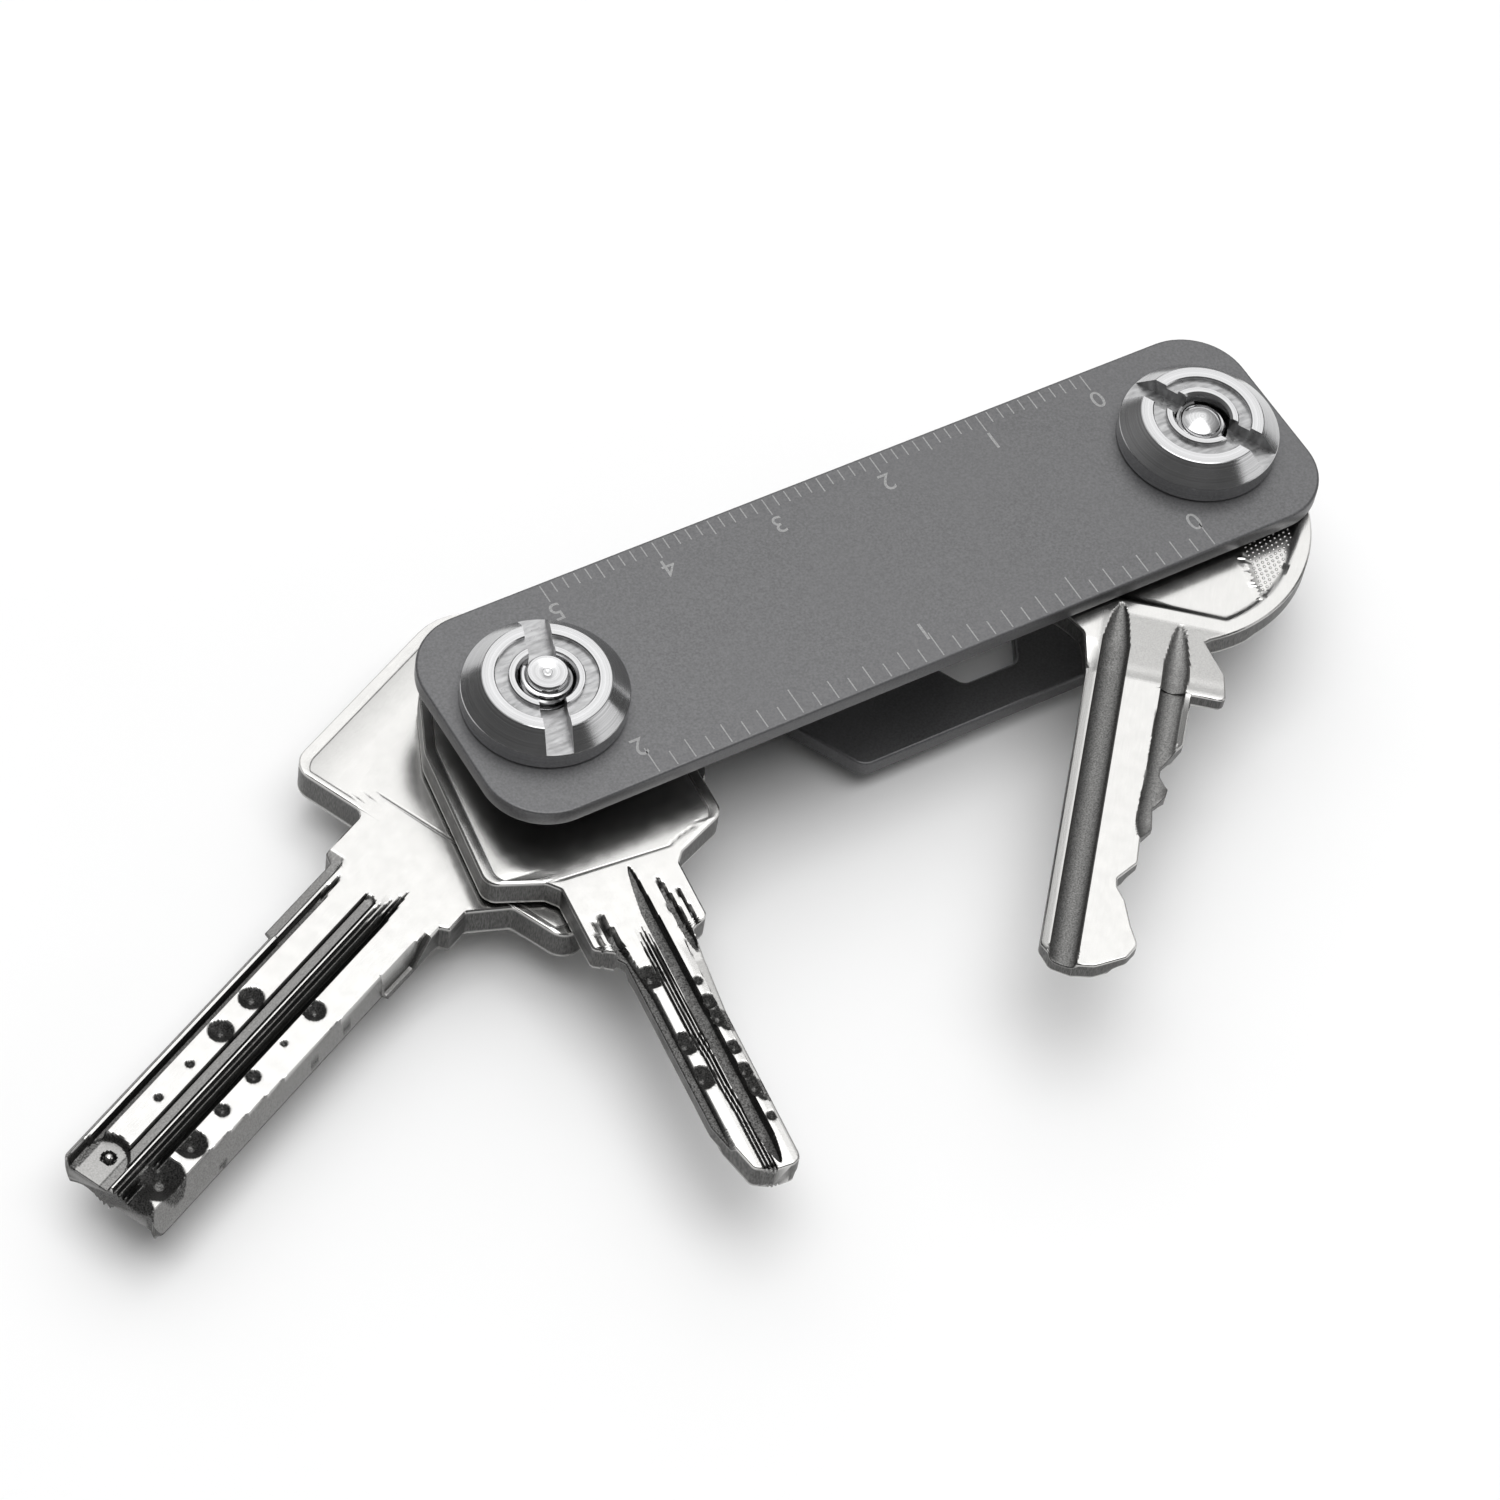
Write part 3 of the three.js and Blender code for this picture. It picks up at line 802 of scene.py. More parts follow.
class ORGANISER_OT_bottom_plate(bpy.types.Operator):
    """Builds the bottom plate with its notch and its key-ring window"""
    bl_idname = "organiser.bottom_plate"
    bl_label = "Bottom plate"

    def execute(self, context):
        settings = context.scene.organiser
        low, high = BOTTOM_PLATE_LOW, BOTTOM_PLATE_HIGH
        anodised = material("grey_anodising", anodised_finish, settings.plate_colour)
        notch_x = PLATE_MIDDLE + NOTCH_MIDDLE
        mouth = NOTCH_MOUTH / 2
        floor = mouth - NOTCH_DEPTH * SIDE_SLANT
        notch = [
            (notch_x - mouth, low.y, NOTCH_FILLET),
            (notch_x - floor, low.y + NOTCH_DEPTH, NOTCH_FILLET),
            (notch_x + floor, low.y + NOTCH_DEPTH, NOTCH_FILLET),
            (notch_x + mouth, low.y, NOTCH_FILLET),
        ]
        corners = plate_corners(low, high)
        outline = rounded(corners[:1] + notch + corners[1:], 16)
        window_x = PLATE_MIDDLE + WINDOW_MIDDLE
        near = WINDOW_NEAR_WIDTH / 2
        far = near + WINDOW_DEPTH * SIDE_SLANT
        near_y = low.y + WINDOW_STRIP
        window = rounded([
            (window_x - near, near_y, WINDOW_FILLET),
            (window_x + near, near_y, WINDOW_FILLET),
            (window_x + far, near_y + WINDOW_DEPTH, WINDOW_FILLET),
            (window_x - far, near_y + WINDOW_DEPTH, WINDOW_FILLET),
        ], 10)
        collar_holes = [
            flatted_circle(x, COLLAR_RADIUS + COLLAR_CLEARANCE, COLLAR_HALF_FLAT + COLLAR_CLEARANCE)
            for x in (LEFT_POST, RIGHT_POST)
        ]
        plate = flat_mesh([outline, window, *collar_holes], high.z - low.z, settings.plate_edge)
        shade(plate)
        placed(plate, z=low.z)
        add_piece("bottom_plate_body", plate, "chassis", ["bottom_plate"], [anodised])
        return {"FINISHED"}


# ---- Posts and nuts --------------------------------------------------------------------------
# All in millimetres, apart from the slots' angles in degrees.

NUT_BORE = 2.25
NUT_BAND = 1.6
NUT_RING = 4.95
NUT_GROOVE = (2.95, 3.95)
NUT_GROOVE_DEPTH = 0.35
NUT_EASE = 0.08
NUT_SHARP_ANGLE = 12
SLOT_ANGLES = {"left": 70.9, "right": 119.3}
SAME_PLACE = 0.02      # how far off a face may be and still count as lying on a plane
FOOT_RADIUS = 6.5
FOOT_HEIGHT = 2.0
COLLAR_EDGE = 0.05
COLLAR_SUNK = 0.02     # how deep the collar's solid reaches into the foot's
COLLAR_BELOW_PLATE = 0.1
THREAD_START = 0.2     # above the foot
THREAD_SHORT = 0.7     # how much shorter the thread is than the stud


def turned_steel(side, x):
    """The steel of one post and all that is turned to fit it, ringed about its axis."""
    colour = bpy.context.scene.organiser.steel_colour
    return material(f"{side}_turned_steel", turned_finish, colour, x)


def foot_profile():
    """The round foot, with a shallow turned ring in its underside and an eased rim."""
    return [
        (0, 0.0), (3.4, 0.0), (3.55, 0.15), (4.1, 0.15), (4.25, 0.0), (FOOT_RADIUS - 0.4, 0.0),
        (FOOT_RADIUS - 0.1, 0.12), (FOOT_RADIUS, 0.4), (FOOT_RADIUS, FOOT_HEIGHT - 0.15),
        (FOOT_RADIUS - 0.15, FOOT_HEIGHT), (THREAD_RADIUS - THREAD_DEPTH, FOOT_HEIGHT),
    ]


def flat_end(top):
    """A stud's flat end, with a chamfer and the small mark of the lathe's centre."""
    return [
        (THREAD_RADIUS - THREAD_DEPTH, top - 0.42), (1.62, top - 0.12), (1.5, top),
        (0.42, top), (0.36, top - 0.03), (0.28, top), (0.16, top - 0.01), (0, top - 0.08),
    ]


def domed_end(top):
    """A stud's domed end."""
    crown = arc((0, top - 2.85), 2.85, 90 - 33, 90, 8)
    return [(THREAD_RADIUS - THREAD_DEPTH, top - 0.75), *crown[:-1], (0, top)]


class ORGANISER_OT_posts(bpy.types.Operator):
    """Builds the two posts: foot, flatted collar, threaded stud and its end"""
    bl_idname = "organiser.posts"
    bl_label = "Posts"

    def execute(self, context):
        for side, x, end in (("left", LEFT_POST, flat_end), ("right", RIGHT_POST, domed_end)):
            steel = turned_steel(side, x)
            low, high = node_box(f"{side}_post")
            stud = turned_mesh(foot_profile() + end(high.z), 96)
            length = high.z - FOOT_HEIGHT - THREAD_SHORT
            thread = thread_mesh(THREAD_RADIUS, THREAD_PITCH, THREAD_DEPTH, length, steel)
            thread.transform(Matrix.Translation((0, 0, FOOT_HEIGHT + THREAD_START)))
            outline = flatted_circle(0, COLLAR_RADIUS, COLLAR_HALF_FLAT)
            plate_thickness = BOTTOM_PLATE_HIGH.z - BOTTOM_PLATE_LOW.z
            collar = flat_mesh([outline], plate_thickness - COLLAR_BELOW_PLATE, COLLAR_EDGE)
            collar.transform(Matrix.Translation((0, 0, FOOT_HEIGHT - COLLAR_SUNK)))
            for mesh in (stud, thread, collar):
                shade(mesh)
            post = placed(joined([stud, thread, collar]), x=x)
            add_piece(f"{side}_post_body", post, "chassis", [f"{side}_post"], [steel])
        return {"FINISHED"}


def nut_profile(radius, height):
    """A nut's section: a straight band, a cone, and a flat top with a turned groove in it."""
    ease = NUT_EASE
    groove_in, groove_out = NUT_GROOVE
    groove_floor = height - NUT_GROOVE_DEPTH
    return [
        (NUT_BORE, 0.1), (NUT_BORE + 0.1, 0), (radius - 0.15, 0), (radius, 0.15),
        (radius, NUT_BAND - ease), (radius - ease * 0.6, NUT_BAND),
        (NUT_RING + ease * 0.6, height - ease * 0.6), (NUT_RING - ease * 0.4, height),
        (groove_out + ease, height), (groove_out, height - ease), (groove_out, groove_floor),
        (groove_in, groove_floor), (groove_in, height - ease), (groove_in - ease, height),
        (NUT_BORE + 0.2, height), (NUT_BORE, height - 0.2), (NUT_BORE, 0.1),
    ]


class ORGANISER_OT_nuts(bpy.types.Operator):
    """Builds the two round nuts, each with a coin slot across its coned top"""
    bl_idname = "organiser.nuts"
    bl_label = "Nuts"

    def execute(self, context):
        settings = context.scene.organiser
        for side, x in (("left", LEFT_POST), ("right", RIGHT_POST)):
            steel = turned_steel(side, x)
            milled_and_shaded = material("milled_steel", milled_finish, settings.steel_colour)
            low, high = node_box(f"{side}_nut")
            radius = (high.y - low.y) / 2
            height = high.z - low.z
            blank = turned_mesh(nut_profile(radius, height))
            half = settings.slot_width / 2
            reach = radius + 1
            slot = box_mesh((-reach, -half, NUT_BAND), (reach, half, height + 1))
            nut = cut(blank, slot)
            nut.materials.clear()
            nut.materials.append(steel)
            nut.materials.append(milled_and_shaded)
            # The slot's floor and walls and the top's groove take the milled steel with its painted
            # shade.
            for face in nut.polygons:
                faces_up = face.normal.z > 0.9
                away = math.hypot(face.center.x, face.center.y)
                on_floor = faces_up and face.center.z < NUT_BAND + SAME_PLACE
                in_groove = faces_up and NUT_GROOVE[0] < away < NUT_GROOVE[1] and (
                    face.center.z < height - NUT_GROOVE_DEPTH / 2
                )
                beside_slot = abs(abs(face.center.y) - half) < SAME_PLACE
                on_wall = beside_slot and abs(face.normal.y) > 0.9
                face.material_index = int(on_floor or in_groove or on_wall)
            indices = [face.material_index for face in nut.polygons]
            shade(nut, NUT_SHARP_ANGLE)
            placed(nut, x=x, z=low.z, turn=SLOT_ANGLES[side])
            piece = add_piece(
                f"{side}_nut_body", nut, f"nut_on_{side}", [f"{side}_nut"],
                [steel, milled_and_shaded],
            )
            piece.data.polygons.foreach_set("material_index", indices)
        return {"FINISHED"}


# ---- Washers and spacers ---------------------------------------------------------------------


class ORGANISER_OT_washers(bpy.types.Operator):
    """Builds the nylon washers and the steel spacers on both posts"""
    bl_idname = "organiser.washers"
    bl_label = "Washers and spacers"

    def execute(self, context):
        nylon = material("black_nylon", nylon_finish, context.scene.organiser.nylon_colour)
        nodes = [f"{side}_washer_{i}" for side in ("left", "right") for i in range(1, 5)]
        nodes += ["left_spacer", "right_lower_spacer", "right_upper_spacer"]
        for node in nodes:
            side = node.split("_")[0]
            x = LEFT_POST if side == "left" else RIGHT_POST
            low, high = node_box(node)
            is_washer = "washer" in node
            steel = turned_steel(side, x)
            made_of, slot, edge = (nylon, "washer", 0.08) if is_washer else (steel, "turned_steel", 0.2)
            bore = THREAD_RADIUS + BORE_CLEARANCE
            ring = ring_mesh(bore, (high.y - low.y) / 2, high.z - low.z, edge, made_of)
            shade(ring)
            placed(ring, x=x, z=low.z)
            add_piece(f"{node}_body", ring, "chassis", [node], [made_of])
        return {"FINISHED"}


# ---- Keys ------------------------------------------------------------------------------------
# A key is a row of sections across it, from its bow to its tip. u runs along the blade from the
# post's axis, v across it, and each section runs over the face, down a flank, back under and up.
# What the mill cuts into the faces is a depth below them, worked out at each point, together with the
# painted shade that darkens the grooves, dimples, slopes and lines.
# All in millimetres, apart from the turns and the sharp angle in degrees.

BORE_RADIUS = 2.25
PIN_PITCH = 3.68
RIM_EASE = 0.14            # how far in the worn round of a key's rim reaches
KEY_SHARP_ANGLE = 24
PAST_TIP = 1000            # an end beyond every blade
LINE_HALF_WIDTH = 0.13     # of the hair-thin groove around a bow's panel
BOW_WIDTH = 15             # every blade is narrower and every bow wider
BOW_STEP = 0.28            # between the sections of a bow
END_STEPS = (0, 0.02, 0.1, 0.2)
FLANK_ROWS = 8
LARGE_KEY_TURN = -154.8
LARGE_KEY_BORDER = 1.05    # from the bow's flanks in to the groove around its panel
SMALL_KEY_TURN = -95.8
SMALL_KEY_BORDER = 0.9
CYLINDER_KEY_TURN = -130.5
CYLINDER_BOW = (7.0, -2.4)
CYLINDER_BOW_RADIUS = 12.95
CYLINDER_PANEL_DEPTH = 0.3
STIPPLE_TURN = 25.4


class Milling:
    """The depth of everything cut into a key's face, at points u, v, and dark, the painted shade laid
    over its grooves, dimples, slopes and lines, from 0 to 1; inward is each point's distance across the
    key from its nearer flank."""

    def __init__(self, u, v, inward):
        self.u = u
        self.v = v
        self.inward = inward
        self.depth = np.zeros_like(u)
        self.dark = np.zeros_like(u)

    def take(self, depth, dark=0.0):
        """Lowers the face to a depth where it isn't lower already, and lays painted shade, as dark as
        asked, where the cut asked for is deeper than 0.03.
        """
        self.dark = np.where(depth > 0.03, np.maximum(self.dark, dark), self.dark)
        self.depth = np.maximum(self.depth, depth)

    def track(self, start, middle, end, run_out):
        """How full a groove is at each point's u, and each point's distance from its middle.
        middle may be a list of (u, v) that the groove follows."""
        if isinstance(middle, list):
            middle = np.interp(self.u, *zip(*middle))
        reach = np.clip((self.u - start) / run_out, 0, 1)
        stop = np.clip((end - self.u) / (run_out / 2), 0, 1)
        return np.sqrt(reach * stop), np.abs(self.v - middle)

    def groove(self, start, middle, half, depth, end=PAST_TIP, run_out=3.0, wall=0.1, dark=0.75):
        """A groove along the blade, as wide as twice half, that runs out at its start."""
        share, across = self.track(start, middle, end, run_out)
        self.take(depth * share * np.clip((half * share - across) / wall, 0, 1), dark)

    def round_groove(self, start, middle, half, depth, end=PAST_TIP, run_out=4.0, dark=0.75):
        """A groove with a round floor."""
        share, across = self.track(start, middle, end, run_out)
        floor = np.sqrt(np.clip(1 - (across / np.maximum(half * share, 1e-6))**2, 0, 1))
        self.take(depth * share * floor, dark)

    def dimples(self, start, offset, radii):
        """A row of dimples at the lock's pitch."""
        for i, radius in enumerate(radii):
            self.dimple(start + i * PIN_PITCH, offset, radius)

    def dimple(self, u, v, radius, steepness=0.85, flat_share=0.18):
        """A cone-shaped dimple with a small flat floor, filled with painted shade at full strength."""
        away = np.hypot(self.u - u, self.v - v)
        cone = np.clip(radius - away, 0, radius * (1 - flat_share))
        self.take(cone * steepness, 1.0)

    def edged(self, inside, depth):
        """A hair-thin groove around a region, painted dark along its length as painted shade; inside is
        the distance into the region.
        """
        near = np.clip(1 - np.abs(inside) / LINE_HALF_WIDTH, 0, 1)
        self.depth += depth * near
        self.dark = np.maximum(self.dark, near)

    def tint(self, inside, dark, blend=0.3):
        """Lays painted shade over a region without lowering it; inside is the distance into the region.
        """
        self.dark = np.maximum(self.dark, dark * np.clip(inside / blend, 0, 1))

    def ramp(self, start, end, depth):
        """Lowers the face evenly from start to end, and by the whole depth beyond."""
        self.depth += depth * np.clip((self.u - start) / (end - start), 0, 1)


def distance_to(u, v, outline):
    """Distance from points to a closed outline."""
    points = np.array(outline)
    nearest = np.full(u.shape, np.inf)
    for (u0, v0), (u1, v1) in zip(points, np.roll(points, -1, axis=0)):
        along_u, along_v = u1 - u0, v1 - v0
        length = max(along_u**2 + along_v**2, 1e-12)
        share = np.clip(((u - u0) * along_u + (v - v0) * along_v) / length, 0, 1)
        nearest = np.minimum(nearest, np.hypot(u - u0 - share * along_u, v - v0 - share * along_v))
    return nearest


def rising(side):
    """A side of an outline with its u made strictly rising, for looking v up by u."""
    points = np.array(side, dtype=float)
    return np.maximum.accumulate(points[:, 0]) + np.arange(len(points)) * 1e-5, points[:, 1]


class KeyBlank:
    """A key's outline and thickness, and how finely its faces are divided. Its sections stand
    close together from blade_start on, a step apart. Each has so many points across, spread
    over the blade's width; those in the core keep their place, and the rest spread out with
    the outline. border is how far in the groove around the bow's panel runs, if it has one."""

    def __init__(self, left, right, thickness, blade, core, blade_start, step, lines, border=0):
        self.left = left
        self.right = right
        self.thickness = thickness
        self.blade = blade
        self.core = core
        self.border = border
        self.blade_start = blade_start
        self.step = step
        self.lines = lines

    def stations(self):
        """Where the sections are: close together along the blade and at each corner."""
        back, tip = self.left[0][0], self.left[-1][0]
        bow = np.arange(back, self.blade_start, BOW_STEP)
        blade = np.arange(self.blade_start, tip, self.step)
        corners = [u for u, v in self.left + self.right]
        steps = []
        for side in (self.left, self.right):
            for (u0, v0), (u1, v1) in zip(side, side[1:]):
                if abs(u1 - u0) < 0.02 and abs(v1 - v0) > 0.2:
                    steps += [u0 - 0.01, u1 + 0.02]
        ends = [back + step for step in END_STEPS] + [tip - step for step in END_STEPS]
        places = np.array([*bow, *blade, *corners, *steps, *ends])
        return np.unique(np.round(np.clip(places, back, tip), 2))

    def grid(self):
        """u and v of each point of the face, a row for each section."""
        places = self.stations()
        low = np.interp(places, *rising(self.left))[:, None]
        high = np.interp(places, *rising(self.right))[:, None]
        blade_low, blade_high = self.blade
        core_low, core_high = self.core
        margin = np.minimum(0.3, (high - low) * 0.25)
        start = np.clip(core_low, low + margin, high - margin)
        end = np.clip(core_high, start, high - margin)
        lines = np.linspace(blade_low, blade_high, self.lines)[None, :]
        before = start - (core_low - lines) * (start - low) / (core_low - blade_low)
        after = end + (lines - core_high) * (high - end) / (blade_high - core_high)
        core_share = (lines - core_low) / (core_high - core_low)
        inside = start + core_share * (end - start)
        v = np.where(lines < core_low, before, np.where(lines > core_high, after, inside))
        edge = np.minimum(RIM_EASE, (high - low) * 0.2)
        v[:, 1:2] = np.minimum(v[:, 1:2], low + edge)
        v[:, -2:-1] = np.maximum(v[:, -2:-1], high - edge)
        if self.border:
            self.follow_border(v, low, high)
        u = np.repeat(places[:, None], self.lines, axis=1)
        return u, v

    def follow_border(self, v, low, high):
        """Moves three lines of the grid on each side to the groove around the bow's panel."""
        bow = high - low > BOW_WIDTH
        for line, shift in ((2, -0.1), (3, 0.0), (4, 0.1)):
            near, far = v[:, line:line + 1], v[:, -line - 1:-line]
            near[:] = np.where(bow, low + self.border + shift, near)
            far[:] = np.where(bow, high - self.border - shift, far)

    def outline(self):
        return self.left + self.right[::-1]


def key_mesh(blank, mill, flank_cut):
    """The key's closed mesh in its own millimetres, with its cut and flank attributes."""
    u, v = blank.grid()
    thickness = blank.thickness
    middle = sum(blank.blade) / 2
    edge = np.clip(1 - distance_to(u, v, blank.outline()) / RIM_EASE, 0, 1)
    eased = RIM_EASE * (1 - np.sqrt(1 - edge**2))

    inward = np.minimum(v - v[:, :1], v[:, -1:] - v)

    def face(across):
        work = Milling(u, across, inward)
        mill(work)
        return work.depth + eased, work.dark

    top_depth, top_painted_shade = face(v)
    low_depth, low_painted_shade = face(2 * middle - v)
    top = thickness - top_depth
    bottom = low_depth
    levels = np.linspace(0, 1, FLANK_ROWS + 2)[1:-1]

    def flank(column, outward):
        """Points down a flank, from the top face's edge to the bottom face's."""
        start, end = top[:, column], bottom[:, column]
        height = start[:, None] + (end - start)[:, None] * levels[None, :]
        inward = flank_cut(u[:, column][:, None], height, outward)
        across = v[:, column][:, None] - outward * inward
        return np.repeat(u[:, column][:, None], FLANK_ROWS, axis=1), across, height

    right = flank(-1, 1)
    left = flank(0, -1)
    loop_u = np.hstack([u, right[0], u[:, ::-1], left[0][:, ::-1]])
    loop_v = np.hstack([v, right[1], v[:, ::-1], left[1][:, ::-1]])
    loop_z = np.hstack([top, right[2], bottom[:, ::-1], left[2][:, ::-1]])
    side = np.ones_like(right[0])
    face_flank = np.zeros_like(u)
    loop_flank = np.hstack([face_flank, side, face_flank, side])
    loop_painted_shade = np.hstack([top_painted_shade, side * 0, low_painted_shade[:, ::-1], side * 0])

    sections, around = loop_u.shape
    vertices = np.stack([loop_u.ravel(), loop_v.ravel(), loop_z.ravel()], axis=1)
    first = np.arange(sections - 1)[:, None] * around + np.arange(around)[None, :]
    follow = np.arange(sections - 1)[:, None] * around + np.roll(np.arange(around), -1)[None, :]
    quads = np.stack([first, follow, follow + around, first + around], axis=-1).reshape(-1, 4)
    faces = quads.tolist()
    last = (sections - 1) * around
    faces.append(list(range(around)))
    faces.append(list(range(last + around - 1, last - 1, -1)))
    mesh = bpy.data.meshes.new("key")
    mesh.from_pydata(vertices.tolist(), [], faces)
    # The cut attribute carries the painted shade of the top and bottom faces; the flank attribute marks
    # the flanks, which the finish also paints darker as painted shade.
    for name, values in (("cut", loop_painted_shade), ("flank", loop_flank)):
        attribute = mesh.attributes.new(name, "FLOAT", "POINT")
        attribute.data.foreach_set("value", values.ravel().astype(np.float32))
    return faced_outwards(mesh)


def bored(mesh, thickness):
    """The key with the round hole for its post, at the origin."""
    low, high = -1, thickness + 1
    walls = [(0, low), (BORE_RADIUS, low), (BORE_RADIUS, high), (0, high)]
    return cut(mesh, turned_mesh(walls, 64))


def no_flank_cut(u, height, outward):
    """Flanks that are left plain."""
    return np.zeros_like(u + height)


def key_silver(node, turn):
    colour = bpy.context.scene.organiser.key_colour
    return material(f"{node}_body_silver", key_finish, colour, turn)


def add_key(node, body, blank, mill, flank_cut, post_x, turn):
    """Makes a key from its blank, turned to its place on its post."""
    low, high = node_box(node)
    mesh = bored(key_mesh(blank, mill, flank_cut), blank.thickness)
    shade(mesh, KEY_SHARP_ANGLE)
    placed(mesh, x=post_x, z=low.z, turn=turn)
    add_piece(f"{node}_body", mesh, body, [node], [key_silver(node, turn)])


def large_key_milling(work):
    """Its panel, the step beside its blade, the ribbed channel, dimples, bevel and pocket."""
    u, v = work.u, work.v
    bow_front = np.interp(np.abs(v + 1.45), [0, 5.6, 7.1, 20], [10.45, 10.45, 12.01, 12.01])
    work.edged(np.minimum(bow_front - u, work.inward - LARGE_KEY_BORDER), 0.02)
    step_depth = 0.45
    work.take(step_depth * np.clip((-5.6 - v) / 0.1, 0, 1) * np.clip((u - 16.8) / 1.5, 0, 1), 0.85)
    # The channel: a broad flat groove with a line down each side, then four finer ones.
    work.groove(18.2, -5.02, 0.3, 0.7, dark=1.0)
    work.groove(18.3, -2.05, 0.54, 0.34, run_out=0.6, wall=0.14, dark=0.82)
    for side in (-2.5, -1.62):
        work.groove(18.3, side, 0.1, 0.5, run_out=0.6, wall=0.06, dark=1.0)
    work.groove(18.3, -1.16, 0.17, 0.5, wall=0.06, dark=0.95)
    work.groove(17.4, -0.74, 0.15, 0.46, wall=0.06, dark=0.95)
    work.groove(16.9, -0.38, 0.14, 0.6, wall=0.06, dark=0.95)
    last_line = [(16, -0.2), (19, -0.02), (60, 0.0)]
    work.groove(16.3, last_line, 0.18, 0.75, run_out=3.5, wall=0.06, dark=1.0)
    # Painted shade over the channel's fine ribs, greying their bright tops.
    work.tint(np.minimum(np.minimum(v + 1.35, 0.2 - v), (u - 17.5) / 5), 0.45, 0.2)
    work.dimples(31.2, -3.55, [1.03, 1.03, 0.4, 0.4])
    work.dimples(29.2, 0.75, [0.95, 0.33, 0.63, 0.63, 1.27, 1.95, 1.95])
    # The bevel down the right flank, with painted shade on it, and three spots of painted shade for the
    # marks of its side pins, with no hollow under them.
    top_edge = np.interp(u, [18.5, 20.5, 35, 44, 60], [3.1, 2.85, 2.6, 2.1, 2.05])
    slope = np.clip((v - top_edge) / np.maximum(3.0 - top_edge, 0.05), 0, 1)
    work.take(2.2 * slope * np.clip((u - 18.5) / 2, 0, 1), 0.72)
    for place in (28.0, 31.9, 42.8):
        work.tint(0.5 - np.hypot(u - place, (v - 2.93) * 5), 1.0, 0.05)
    # The round-ended pocket at the tip, and the ball that sits in a hole in its floor.
    pocket_depth, hole_radius, ball_radius = 0.85, 0.56, 0.36
    pocket_end = np.hypot(np.minimum(u - 48.5, 0), v + 3.55)
    # The pocket and the hole in its floor take painted shade, with a ring of it along the pocket's round
    # end; the ball takes none.
    work.take(pocket_depth * np.clip((1.95 - pocket_end) / 0.25, 0, 1), 0.62)
    work.tint(0.2 - np.abs(pocket_end - 1.8), 1.0, 0.1)
    away = np.hypot(u - 48.1, v + 3.45)
    work.take(1.25 * (away < hole_radius), 1.0)
    ball = np.sqrt(np.clip(ball_radius**2 - away**2, 0, 1))
    work.depth = np.where(away < ball_radius, pocket_depth - ball, work.depth)
    work.dark = np.where(away < ball_radius, 0, work.dark)


def large_key_flank(u, height, outward):
    """A shallow line along the right flank."""
    return 0.12 * (np.abs(height - 0.5) < 0.15) * (u > 20) * (outward > 0)


class ORGANISER_OT_large_dimple_key(bpy.types.Operator):
    """Builds the large dimple key with its angular bow"""
    bl_idname = "organiser.large_dimple_key"
    bl_label = "Large dimple key"

    def execute(self, context):
        left = rounded([
            (-9.2, -1.2, 0), (-9.2, -14.3, 5.2), (12.45, -14.3, 1.7), (12.45, -7.2, 0.9),
            (17.3, -7.2, 0.3), (17.7, -6.5, 0), (25.7, -6.5, 0), (25.85, -6.0, 0),
            (50.4, -6.0, 0.7), (50.4, -1.5, 0),
        ], closed=False)
        right = rounded([
            (-9.2, -1.2, 0), (-9.2, 12.0, 5.2), (12.4, 12.0, 1.7), (12.5, 6.8, 0.6),
            (15.0, 4.3, 0.5), (17.1, 4.3, 0.2), (17.4, 3.6, 0.2), (23.6, 3.5, 0), (23.75, 3.05, 0),
            (50.4, 3.0, 0.6), (50.4, -1.5, 0),
        ], closed=False)
        low, high = node_box("large_dimple_key")
        blank = KeyBlank(
            left, right, high.z - low.z, blade=(-6.0, 3.0), core=(-4.6, 1.6),
            blade_start=9.8, step=0.13, lines=86, border=LARGE_KEY_BORDER,
        )
        add_key(
            "large_dimple_key", "large_key", blank, large_key_milling, large_key_flank,
            LEFT_POST, LARGE_KEY_TURN,
        )
        return {"FINISHED"}


